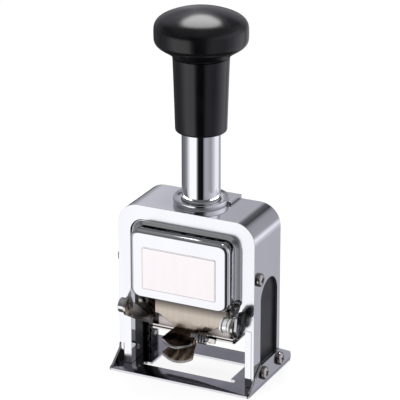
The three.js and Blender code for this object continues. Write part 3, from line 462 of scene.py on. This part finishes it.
# Number wheels: six steel wheels on one axle, each with ten raised, mirrored figures and a ratchet on its
# right side. The figures are cut in the type blocks and are brighter on their inked faces.
def figure(sign, size, depth):
    """One raised figure, flat on the XY plane and mirrored as type is."""
    text = bpy.data.curves.new("figure", "FONT")
    text.body = sign
    text.size = size * mm
    text.extrude = depth / 2 * mm
    text.align_x = "CENTER"
    text.align_y = "CENTER"
    text.resolution_u = 2
    written = bpy.data.objects.new("figure", text)
    data = bpy.data.meshes.new_from_object(written)
    mesh = bmesh.new()
    mesh.from_mesh(data)
    bpy.data.objects.remove(written)
    bpy.data.meshes.remove(data)
    bmesh.ops.remove_doubles(mesh, verts=mesh.verts, dist=1e-6)
    bmesh.ops.scale(mesh, verts=mesh.verts, vec=(-1, 1, 1))
    bmesh.ops.recalc_face_normals(mesh, faces=mesh.faces)
    return mesh


type_steel = Finish("type_steel", (0.5, 0.5, 0.51), 0.3, 1, slot="steel")
inked = type_steel.noise(400, 4).above(0.42, 0.62)
type_steel.feed("Base Color", type_steel.mix(inked, (0.5, 0.5, 0.52), (0.1, 0.1, 0.14)))
type_steel.feed("Roughness", inked * 0.2 + 0.2)
wheel_count = 6
wheel_pitch = 4.2
wheel_height, type_radius = 30.5, 8.0
block_middle = -0.65
figure_size, figure_depth = 3.0, 0.3
figures = [figure(sign, figure_size, figure_depth) for sign in "0123456789"]
for index in range(wheel_count):
    name = f"number_wheel_{index + 1}"
    wheel = cad_copy(name, whole=False)
    x = (index - (wheel_count - 1) / 2) * wheel_pitch + block_middle
    for number, shape in enumerate(figures):
        turn = math.radians(360 / len(figures) * number - 90)
        across, outwards = Vector((1, 0, 0)), Vector((0, math.cos(turn), math.sin(turn)))
        place = Matrix((across, outwards.cross(across), outwards)).transposed().to_4x4()
        place.translation = at(x, 0, wheel_height) + outwards * type_radius * mm
        raised = bpy.data.meshes.new("raised")
        shape.to_mesh(raised)
        raised.transform(place)
        wheel.from_mesh(raised)
        bpy.data.meshes.remove(raised)
    part(name + "_type", wheel, type_steel, name, name)
for shape in figures:
    shape.free()

# Wheel axle with its two retaining clips, and the feed yoke with its pawl comb, which turns the wheels on by
# one figure: turned and stamped steel.
dressed("wheel_axle", steel, 0.2)
for side in ("left", "right"):
    dressed("axle_clip_" + side, bright_strip, 0.1)
dressed("feed_yoke", steel, 0.12)
dressed("feed_pawl", bright_strip, 0.08)

# Plunger: a drawn tube, chromed and polished, that slides in the collar and carries the knob above and the
# carriage below.
def spun(profile, along=(0, 0, 1), centre=(0, 0, 0), steps=96):
    """Turns an outline of (radius, rise) round the axis along through centre, which is given as at() takes it."""
    mesh = bmesh.new()
    axis = Vector(along)
    aside = Vector((0, 1, 0)) if axis.x else Vector((1, 0, 0))
    verts = [mesh.verts.new(at(*centre) + (aside * radius + axis * rise) * mm) for radius, rise in profile]
    edges = [mesh.edges.new(pair) for pair in zip(verts, verts[1:])]
    bmesh.ops.spin(mesh, geom=verts + edges, cent=at(*centre), axis=axis, angle=2 * math.pi, steps=steps,
                   use_merge=True)
    bmesh.ops.remove_doubles(mesh, verts=mesh.verts, dist=1e-7)
    bmesh.ops.recalc_face_normals(mesh, faces=mesh.faces)
    return mesh


tube_chrome = Finish("tube_chrome", (0.86, 0.865, 0.88), 0.05, 1, slot="chrome")
rubbing = tube_chrome.noise(220, 3, (1, 1, 0.05))
tube_chrome.feed("Roughness", rubbing * 0.03 + 0.035)
tube_chrome.feed("Base Color", tube_chrome.mix(rubbing.above(0.3, 0.8), (0.88, 0.885, 0.9), (0.84, 0.845, 0.86)))
tube_bore, tube_radius, tube_foot, tube_top = 6.6, 7.9, 56, 131.2
tube = spun([(tube_bore, tube_foot), (tube_radius, tube_foot), (tube_radius, tube_top), (tube_bore, tube_top),
             (tube_bore, tube_foot)], steps=128)
rounded(part("plunger_tube", tube, tube_chrome, "plunger", "plunger_shaft"), 0.2)

# Collar: a turned and chromed cup that guides the plunger, pressed through the rear plate into the top of the
# housing.
cup_outline = [(8.2, 67.8), (9.4, 67.8), (9.4, 72.45), (11.2, 72.45), (11.3, 72.6), (11.35, 73.2), (11.45, 74.2),
               (11.45, 74.6), (11.35, 74.85), (11.1, 74.95), (10.85, 74.85), (10.7, 74.65), (10.0, 74.15),
               (9.2, 73.95), (8.6, 73.9), (8.2, 73.9), (8.2, 67.8)]
part("collar_cup", spun(cup_outline, steps=128), tube_chrome, "frame", "collar", smooth=50)

# Knob: a neck and a broad mushroom cap, moulded in gloss black plastic. The neck is pressed on the tube, and the
# cap is set on the neck.
gloss_black = Finish("gloss_black", (0.002, 0.002, 0.003), 0.14, 0, 0.05, slot="black_plastic")
handling = gloss_black.noise(80, 4).above(0.4, 0.85)
gloss_black.feed("Roughness", handling * 0.06 + 0.19)
gloss_black.feed("Base Color", gloss_black.mix(handling, (0.0015, 0.0015, 0.002), (0.005, 0.005, 0.006)))
gloss_black.bump(gloss_black.noise(50, 2), 0.12, 0.15 * mm)
neck_outline = [(8.1, 134.4), (8.1, 103.6), (8.3, 103.4), (9.75, 103.4), (10.2, 103.52), (10.42, 103.8), (10.5, 104.3),
                (10.67, 110), (10.97, 120), (11.2, 127), (11.4, 132.5), (11.48, 134), (11.48, 134.4), (8.1, 134.4)]
part("knob_stem", spun(neck_outline), gloss_black, "plunger", "knob_neck", smooth=50)
cap_outline = [(0, 134.6), (8, 134.6), (11.7, 134.6), (11.78, 135), (12.79, 136), (14.2, 137), (15.8, 138),
               (17.4, 139), (18.35, 140), (18.83, 141), (18.93, 142.2), (18.95, 143.6), (18.95, 145.2),
               (18.9, 146.2), (18.77, 147.1), (18.46, 148), (17.76, 149), (16.7, 149.9), (15.2, 150.7),
               (12.3, 151.9), (9.2, 152.86), (6, 153.6), (3, 154.0), (0.8, 154.1), (0, 154.1)]
cap = part("knob_mushroom", spun(cap_outline, steps=64), gloss_black, "plunger", "knob_cap", smooth=180)
form = cap.modifiers.new("smooth_form", "SUBSURF")
form.levels = form.render_levels = 2

# Rear plate: a chromed strap that runs over the top of the housing and down behind it, where two pan head screws
# hold it. Its front end lies hidden under the collar.
strap = cad_copy("rear_plate")
strap_end = 2
bmesh.ops.bisect_plane(strap, geom=strap.verts[:] + strap.edges[:] + strap.faces[:], plane_co=at(0, strap_end, 0),
                       plane_no=(0, -1, 0), clear_outer=True)
bmesh.ops.holes_fill(strap, edges=[edge for edge in strap.edges if edge.is_boundary], sides=0)
rounded(part("strap_and_back", strap, chrome, "frame", "rear_plate"), 0.2)


def walled(mesh, rim, depth, taper=1):
    """Draws a closed rim straight down by a depth in millimetres, and closes its foot."""
    walls = bmesh.ops.extrude_edge_only(mesh, edges=rim)["geom"]
    foot = [item for item in walls if isinstance(item, bmesh.types.BMVert)]
    bmesh.ops.translate(mesh, verts=foot, vec=(0, 0, -depth * mm))
    bmesh.ops.scale(mesh, verts=foot, vec=(taper, taper, 1))
    bmesh.ops.edgeloop_fill(mesh, edges=[item for item in walls if isinstance(item, bmesh.types.BMEdge)
                                         and item.verts[0] in foot and item.verts[1] in foot])


def pan_head(radius, height, shank, length):
    """A screw along Z with its head's seat at 0 and a cross recess pressed into the crown."""
    mesh = bmesh.new()
    profile = ((0, -length), (shank * 0.8, -length), (shank, 0.3 - length), (shank, 0), (radius, 0),
               (radius, height * 0.45), (radius * 0.95, height * 0.7), (radius * 0.82, height * 0.88),
               (radius * 0.66, height))
    verts = [mesh.verts.new((x * mm, 0, z * mm)) for x, z in profile]
    edges = [mesh.edges.new(pair) for pair in zip(verts, verts[1:])]
    bmesh.ops.spin(mesh, geom=verts + edges, cent=(0, 0, 0), axis=(0, 0, 1), angle=2 * math.pi, steps=48,
                   use_merge=True)
    bmesh.ops.remove_doubles(mesh, verts=mesh.verts, dist=1e-7)
    crown = [edge for edge in mesh.edges if edge.is_boundary]
    wide, narrow = radius * 0.5, radius * 0.14
    corners = []
    for quarter in range(4):
        turned = Matrix.Rotation(quarter * math.pi / 2, 3, "Z")
        corners += [mesh.verts.new(turned @ Vector((x * mm, y * mm, height * mm)))
                    for x, y in ((wide, -narrow), (wide, narrow), (narrow, narrow))]
    cross = [mesh.edges.new((corners[i - 1], corners[i])) for i in range(12)]
    bmesh.ops.triangle_fill(mesh, use_beauty=True, edges=crown + cross)
    walled(mesh, cross, height * 0.55, taper=0.75)
    bmesh.ops.recalc_face_normals(mesh, faces=mesh.faces)
    return mesh


def screw(node, x, y, z, axis, turn, sizes):
    """Puts a pan head screw in its hole, its head out along axis and its cross turned by some degrees."""
    mesh = pan_head(*sizes)
    facing = Vector(axis).to_track_quat("Z", "Y").to_matrix().to_4x4() @ Matrix.Rotation(math.radians(turn), 4, "Z")
    bmesh.ops.transform(mesh, matrix=Matrix.Translation(at(x, y, z)) @ facing, verts=mesh.verts)
    part(node + "_pan_head", mesh, screw_chrome, "frame", node)


screw_chrome = Finish("plated_screw", (0.7, 0.7, 0.72), 0.18, 1, slot="steel")
drawn = screw_chrome.noise(900, 3)
screw_chrome.feed("Roughness", drawn * 0.12 + 0.1)
screw_chrome.feed("Base Color", screw_chrome.mix(drawn, (0.38, 0.35, 0.33), (0.6, 0.57, 0.55)))
rear_x, rear_seat, rear_z = 9.5, 12.2, 68.8
rear_sizes = (2.2, 1.2, 1.0, 1.2)
for side, sign, turn in (("left", -1, 20), ("right", 1, 55)):
    screw("rear_screw_" + side, sign * rear_x, rear_seat, rear_z, (0, 1, 0), turn, rear_sizes)

# Front cover: a pressed and chromed steel box, open at the back, with a chamfered rim that fills the opening of
# the housing and softly drawn edges in front.
def frame_loop(mesh, half, low, high, radius, y):
    """A rounded rectangle that faces the front: half width, foot, top, corner radius and place in depth."""
    known = set(mesh.faces)
    corners = [mesh.verts.new(at(x, y, z)) for x, z in ((-half, low), (half, low), (half, high), (-half, high))]
    mesh.faces.new(corners)
    bmesh.ops.bevel(mesh, geom=corners, offset=radius * mm, offset_type="OFFSET", segments=10, profile=0.5,
                    affect="VERTICES", material=-1)
    return (set(mesh.faces) - known).pop()


def sheeted(piece, thickness, offset=0):
    """Gives a bare surface the thickness of its sheet, in millimetres."""
    sheet = piece.modifiers.new("sheet", "SOLIDIFY")
    sheet.thickness = thickness * mm
    sheet.offset = offset


cover_half, cover_foot, cover_top = 24.9, 33.6, 66.2
cover = bmesh.new()
steps = [(0, 5.8, -12.6), (0, 5.8, -13.0), (0.12, 5.75, -13.4), (0.35, 5.6, -13.68), (0.8, 5.35, -13.97),
         (1.7, 4.7, -14.56), (2.5, 4.1, -15.08), (2.7, 4.0, -15.3), (2.7, 4.0, -18.8), (2.75, 3.98, -19.4),
         (2.9, 3.9, -19.9), (3.2, 3.7, -20.35), (3.6, 3.5, -20.62), (4.1, 3.2, -20.82), (4.7, 2.9, -20.95),
         (5.3, 2.6, -21.0)]
loops = [frame_loop(cover, cover_half - inset, cover_foot + min(inset, 0.6 + inset / 3), cover_top - 0.6 * inset,
                    corner, y) for inset, corner, y in steps]
outlines = [list(face.edges) for face in loops]
bmesh.ops.delete(cover, geom=loops[:-1], context="FACES_ONLY")
for behind, ahead in zip(outlines, outlines[1:]):
    bmesh.ops.bridge_loops(cover, edges=behind + ahead)
bmesh.ops.recalc_face_normals(cover, faces=cover.faces)
if loops[-1].normal.y > 0:
    bmesh.ops.reverse_faces(cover, faces=cover.faces)
box_cover = part("cover_pressing", cover, chrome, "frame", "front_cover", smooth=50)
sheeted(box_cover, 0.7, -1)
evened = box_cover.modifiers.new("flat_faces", "WEIGHTED_NORMAL")
evened.keep_sharp = True

# Label plate: thin satin foil stuck on the front of the cover. It is left bare but for the fine line that is
# printed round its edge.
foil = Finish("label_foil", (0.86, 0.8, 0.82), 0.4, 0.1, 0.1, slot="label")
low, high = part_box("label_plate")
middle = (low + high) / 2
margin = 0.45 * mm
from_side = foil.axis("X").maths("ABSOLUTE") - (high.x - margin)
from_end = (foil.axis("Z") - middle.z).maths("ABSOLUTE") - (high.z - middle.z - margin)
inset = from_side.maths("MAXIMUM", from_end)
line = inset.above(0, 0.06 * mm) * inset.above(0.26 * mm, 0.2 * mm)
paper = foil.mix(foil.noise(250, 4, (1, 1, 0.15)), (0.84, 0.78, 0.8), (0.9, 0.85, 0.87))
foil.feed("Base Color", foil.mix(line, paper, (0.32, 0.31, 0.33)))
dressed("label_plate", foil, 0.06)

# Ear screws and guide screws: plated M3 pan heads with a cross recess. Two go through each ear and the housing
# into the guide, and one above each slot holds the guide's top.
ear_seat, ear_front, ear_rear, ear_height = 31.8, -7.4, 8.0, 5.8
guide_seat, guide_front, guide_height = 30.6, -9.9, 47.6
ear_sizes, guide_sizes = (2.8, 1.6, 1.45, 6.6), (2.8, 1.6, 1.45, 5.4)
for side, sign, turns in (("left", -1, (10, 40, 70)), ("right", 1, (25, 60, 5))):
    out = (sign, 0, 0)
    screw("ear_screw_front_" + side, sign * ear_seat, ear_front, ear_height, out, turns[0], ear_sizes)
    screw("ear_screw_rear_" + side, sign * ear_seat, ear_rear, ear_height, out, turns[1], ear_sizes)
    screw("guide_screw_" + side, sign * guide_seat, guide_front, guide_height, out, turns[2], guide_sizes)

# Lugs that carry the pad holder: a turned boss on the left leg and a stamped plate on the right leg, each with
# a steel pin.
dressed("pad_lug_left", chrome, 0.3, segments=3)
dressed("pad_lug_right", steel, 0.15)
dressed("pad_pivot_left", steel, 0.2)
dressed("pad_pivot_right", steel, 0.2)

# Pad tray: one folded steel sheet with two arms that hang on the pivots and a web along each arm. It is nickel
# plated, a little yellowed, with a painted shade line under its lip and painted shade at the back of the arms.
tray_nickel = Finish("tray_nickel", (0.7, 0.68, 0.64), 0.12, 1, slot="nickel")
tarnish = tray_nickel.noise(70, 5, (1, 1, 0.6)).above(0.35, 0.75)
low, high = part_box("pad_tray")
hem = tray_nickel.axis("Z") - low.z
# The dark line under the lip is painted shade, for the gap between the pad and the tray's bottom flange.
painted_gap_shade = hem.above(2.1 * mm, 2.2 * mm) * hem.above(2.9 * mm, 2.8 * mm)
on_arm = tray_nickel.axis("Z").above(20.0 * mm, 22.5 * mm)
# The back of the arms, behind the cover, is painted dark as shade.
painted_arm_shade = on_arm * tray_nickel.axis("Y").above(axis_y - 17.0 * mm, axis_y - 12.0 * mm)
plated = tray_nickel.mix(tarnish, (0.8, 0.78, 0.75), (0.58, 0.55, 0.5))
browned = tray_nickel.mix(on_arm, plated, (0.66, 0.62, 0.56))
darkened = tray_nickel.mix(painted_arm_shade, browned, (0.07, 0.06, 0.05))
tray_nickel.feed("Base Color", tray_nickel.mix(painted_gap_shade, darkened, (0.03, 0.028, 0.028)))
tray_nickel.feed("Roughness", tarnish * 0.12 + 0.1)
dressed("pad_tray", tray_nickel, 0.12)
tray_sheet = 0.8
web_outline = ((21.4, -15.2, 29.6), (16.4, -9.6, 21.6), (16.4, -9.6, 32.6), (21.4, -15.2, 33.4))
webs = bmesh.new()
for sign in (-1, 1):
    webs.faces.new([webs.verts.new(at(sign * x, y, z)) for x, y, z in web_outline])
sheeted(part("arm_gussets", webs, tray_nickel, "pad_holder", "pad_tray"), tray_sheet)

# Shield and finger tab: one sheet in front of the wheels, with a tongue below it that is folded out into two lips
# for the finger, and a pin beside them for the catch spring. It is nickel plated and cream, with a painted
# reflection of the tab and a painted shadow under the cover; the lips are dark brown with painted highlights.
lipped = Finish("shield_nickel", (0.6, 0.54, 0.44), 0.22, 1, slot="nickel")
streaks = lipped.noise(700, 4, (1, 0.3, 0.06))
on_plate = lipped.axis("Z").above(19.4 * mm, 20.4 * mm)
# Brown patches just above the tab's root are a painted reflection of the tab in the plate.
painted_tab_reflection = lipped.axis("Z").above(24.0 * mm, 20.5 * mm) * lipped.noise(130, 3, (1, 1, 2)).above(0.42, 0.6)
# The plate darkens towards its top as a painted shadow under the cover.
painted_cover_shadow = lipped.axis("Z").above(26.2 * mm, 29.6 * mm)
lower_lip = lipped.axis("Z").above(14.2 * mm, 12.4 * mm)
rim_mark = lipped.node("Attribute", {"attribute_name": "lip_reach"}, output="Fac")
# The bright band along each lip's rim is a painted highlight, dimmer on the lower lip.
painted_rim_highlight = rim_mark.above(0.9, 0.95)
# The lips are dark brown, and the lighter brown streaks on them are painted highlights.
upper_brown_glints = lipped.mix(streaks.above(0.35, 0.7) * rim_mark.above(0.9, 0.1), (0.02, 0.013, 0.01), (0.3, 0.2, 0.14))
lower_brown_glints = lipped.mix(streaks.above(0.4, 0.65), (0.03, 0.02, 0.015), (0.27, 0.2, 0.15))
brown = lipped.mix(lower_lip, upper_brown_glints, lower_brown_glints)
cream = lipped.mix(streaks, (0.47, 0.41, 0.34), (0.58, 0.52, 0.44))
with_tab_reflection = lipped.mix(painted_tab_reflection * 0.75, cream, (0.2, 0.13, 0.1))
shaded = lipped.mix(painted_cover_shadow, with_tab_reflection, (0.15, 0.13, 0.115))
dulled = 1 - lower_lip * 0.6
lip_colour = lipped.mix(painted_rim_highlight * dulled, brown, (0.85, 0.82, 0.8))
lipped.feed("Base Color", lipped.mix(on_plate, lip_colour, shaded))
lipped.feed("Roughness", streaks * 0.12 + 0.14)
lipped.feed("Metallic", dulled)
plate_y = -9.5
tongue_middle, tongue_half = -2.4, 4.7


def leaf(mesh, root, bow, sag, length=8.5, flare=2.5, fall=2.1):
    """One of the two lips: it leaves the tongue level, widens and curls down towards its bowed rim."""
    reach = mesh.verts.layers.float.get("lip_reach") or mesh.verts.layers.float.new("lip_reach")
    grid = bmesh.ops.create_grid(mesh, x_segments=24, y_segments=20, size=0.5)["verts"]
    for vert in grid:
        vert[reach] = vert.co.y + 0.5
        share, out = 2 * vert.co.x, vert.co.y + 0.5
        middle = 1 - share ** 2
        vert.co = at(share * (tongue_half + flare * out) + tongue_middle, plate_y - (length + bow * middle) * out,
                     root - fall * out - sag * middle * out ** 1.5)


shield = bmesh.new()
outline = [(-7.1, 12.3), (2.3, 12.3), (2.3, 18.9), (7.2, 18.9), (7.2, 19.7), (14.7, 24.2), (16.6, 24.2), (16.6, 31),
           (-16.6, 31), (-16.6, 24.2), (-14.7, 24.2), (-7.1, 19.7)]
corners = [shield.verts.new(at(x, plate_y, z)) for x, z in outline]
shield.faces.new(corners)
bmesh.ops.bevel(shield, geom=corners[5:11], offset=0.8 * mm, offset_type="OFFSET", segments=3, profile=0.5,
                affect="VERTICES", material=-1)
foot_half, foot_back, foot_z = 7.2, -7.6, 18.8
shield.faces.new([shield.verts.new(at(x, y, foot_z)) for x, y in (
    (-foot_half, plate_y), (foot_half, plate_y), (foot_half, foot_back), (-foot_half, foot_back))])
leaf(shield, root=19.3, bow=2.5, sag=2.1)
leaf(shield, root=12.7, bow=1.0, sag=2.4)
tab = part("shield_and_tab", shield, lipped, "pad_holder", "pad_shield", smooth=50)
sheeted(tab, tray_sheet)
rounded(tab, 0.25, 3, 50)
catch_y, catch_z = -12.5, 18.2
pin_root, coil_root = 0.7, 4.5
pin_outline = [(0, 0.8), (1.2, 0.8), (1.5, 1.1), (1.5, 8.0), (1.2, 8.3), (0, 8.3)]
pin = spun(pin_outline, along=(1, 0, 0), centre=(pin_root, catch_y, catch_z), steps=32)
part("catch_pin", pin, steel, "pad_holder", "pad_shield")

# Ink pad: a block of dense wool felt, pinkish white and a little fuzzy, glued into the tray. Its edges are worn
# round and its top is a little crowned.
felt = Finish("wool_felt", (0.8, 0.72, 0.7), 0.95, 0, slot="felt")
fibres = felt.noise(1400, 6, roughness=0.7)
clumps = felt.noise(260, 4)
felt.feed("Base Color", felt.mix(fibres * 0.5 + clumps * 0.5, (0.68, 0.58, 0.56), (0.9, 0.84, 0.82)))
felt.bump(fibres * 0.6 + clumps * 0.4, 0.8, 0.25 * mm)
low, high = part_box("ink_pad")
room = Vector((0.5, 0.5, 0.3)) * mm
crown = 0.35 * mm
pad = bmesh.new()
bmesh.ops.create_cube(pad, size=1)
bmesh.ops.scale(pad, verts=pad.verts, vec=high - low - room)
upright_edges = [edge for edge in pad.edges if abs(edge.verts[0].co.z - edge.verts[1].co.z) > 1 * mm]
bmesh.ops.bevel(pad, geom=upright_edges, offset=1.2 * mm, offset_type="OFFSET", segments=3, profile=0.5,
                affect="EDGES", material=-1)
bmesh.ops.subdivide_edges(pad, edges=[edge for edge in pad.edges if edge.calc_length() > 5 * mm], cuts=12,
                          use_grid_fill=True)
half_size = (high - low) / 2
for vert in pad.verts:
    if vert.co.z > 0:
        across_share = max(0, 1 - (vert.co.x / half_size.x) ** 2)
        deep_share = max(0, 1 - (vert.co.y / half_size.y) ** 2)
        vert.co.z -= crown * (1 - across_share * deep_share)
bmesh.ops.translate(pad, verts=pad.verts, vec=(low + high) / 2)
cushion = part("felt_pad", pad, felt, "pad_holder", "ink_pad", smooth=60)
rounded(cushion, 0.5, 3, 40)

# Sleeve on the right pivot: a short turned barrel with a bead at each end, chromed and tumbled bright, that fills
# the room between the arm and the lug.
barrel_chrome = Finish("barrel_chrome", (0.93, 0.93, 0.935), 0.1, 0.5, slot="chrome")
barrel_chrome.feed("Roughness", barrel_chrome.noise(300, 3, (0.1, 1, 1)) * 0.08 + 0.08)
barrel_foot, barrel_middle = 18.2, 20.5
along_barrel = (barrel_chrome.axis("X") - barrel_middle * mm).maths("ABSOLUTE")
# Two dark rings where the beads meet the waist are painted shade.
painted_crease_shade = along_barrel.above(0.75 * mm, 0.95 * mm) * along_barrel.above(1.35 * mm, 1.15 * mm)
barrel_chrome.feed("Base Color", barrel_chrome.mix(painted_crease_shade, (0.96, 0.96, 0.965), (0.1, 0.1, 0.105)))
pivot_y, pivot_z = -18.5, 29
barrel_outline = [(1.5, 0), (2.9, 0), (3.2, 0.15), (3.3, 0.5), (3.3, 0.9), (3.05, 1.2), (2.95, 1.5), (2.95, 3.1),
                  (3.05, 3.4), (3.3, 3.7), (3.3, 4.1), (3.2, 4.45), (2.9, 4.6), (1.5, 4.6), (1.5, 0)]
sleeve = spun(barrel_outline, along=(1, 0, 0), centre=(barrel_foot, pivot_y, pivot_z), steps=64)
part("pivot_barrel", sleeve, barrel_chrome, "pad_holder", "pivot_sleeve", smooth=60)

# Catch spring: three turns of bright spring wire, wound on the pin beside the tab. It holds the tray shut until
# the tab is pressed.
catch = coil(radius=2.15, wire=0.35, length=3.7, turns=3)
lying = Matrix.Translation(at(coil_root, catch_y, catch_z)) @ Matrix.Rotation(math.pi / 2, 4, "Y")
bmesh.ops.transform(catch, matrix=lying, verts=catch.verts)
part("catch_coil", catch, bright_strip, "pad_holder", "catch_spring", smooth=60)

# Thumb screw: a small round head of blackened steel, knurled for the fingers, with its shank screwed into the
# right lug.
head_radius, head_depth, head_rise = 2.6, 1.35, 0.25
shank_radius, shank_length = 1.1, 2.0
knurl_points, knurl_share = 28, 0.93
knurl = bmesh.new()
points = bmesh.ops.create_circle(knurl, cap_ends=True, radius=head_radius * mm, segments=2 * knurl_points)["verts"]
bmesh.ops.scale(knurl, verts=points[::2], vec=(knurl_share, knurl_share, 1))
bmesh.ops.inset_region(knurl, faces=knurl.faces, thickness=0.35 * mm)
face = max(knurl.faces, key=lambda candidate: candidate.calc_area())
bmesh.ops.translate(knurl, verts=face.verts, vec=(0, 0, head_rise * mm))
walled(knurl, [edge for edge in knurl.edges if edge.is_boundary], head_depth)
bmesh.ops.create_cone(knurl, cap_ends=True, segments=24, radius1=shank_radius * mm, radius2=shank_radius * mm,
                      depth=shank_length * mm, matrix=Matrix.Translation((0, 0, -shank_length * mm)))
bmesh.ops.recalc_face_normals(knurl, faces=knurl.faces)
low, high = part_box("thumb_screw")
middle = (low + high) / 2
stand = Matrix.Translation(Vector((high.x - head_rise * mm - 0.02 * mm, middle.y, middle.z)))
bmesh.ops.transform(knurl, matrix=stand @ Matrix.Rotation(math.pi / 2, 4, "Y"), verts=knurl.verts)
part("knurled_screw", knurl, black_steel, "thumb_screw", "thumb_screw", smooth=25)

size = {"cad": [list(corner) for corner in cad_box], "visual": [list(corner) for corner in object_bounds()]}
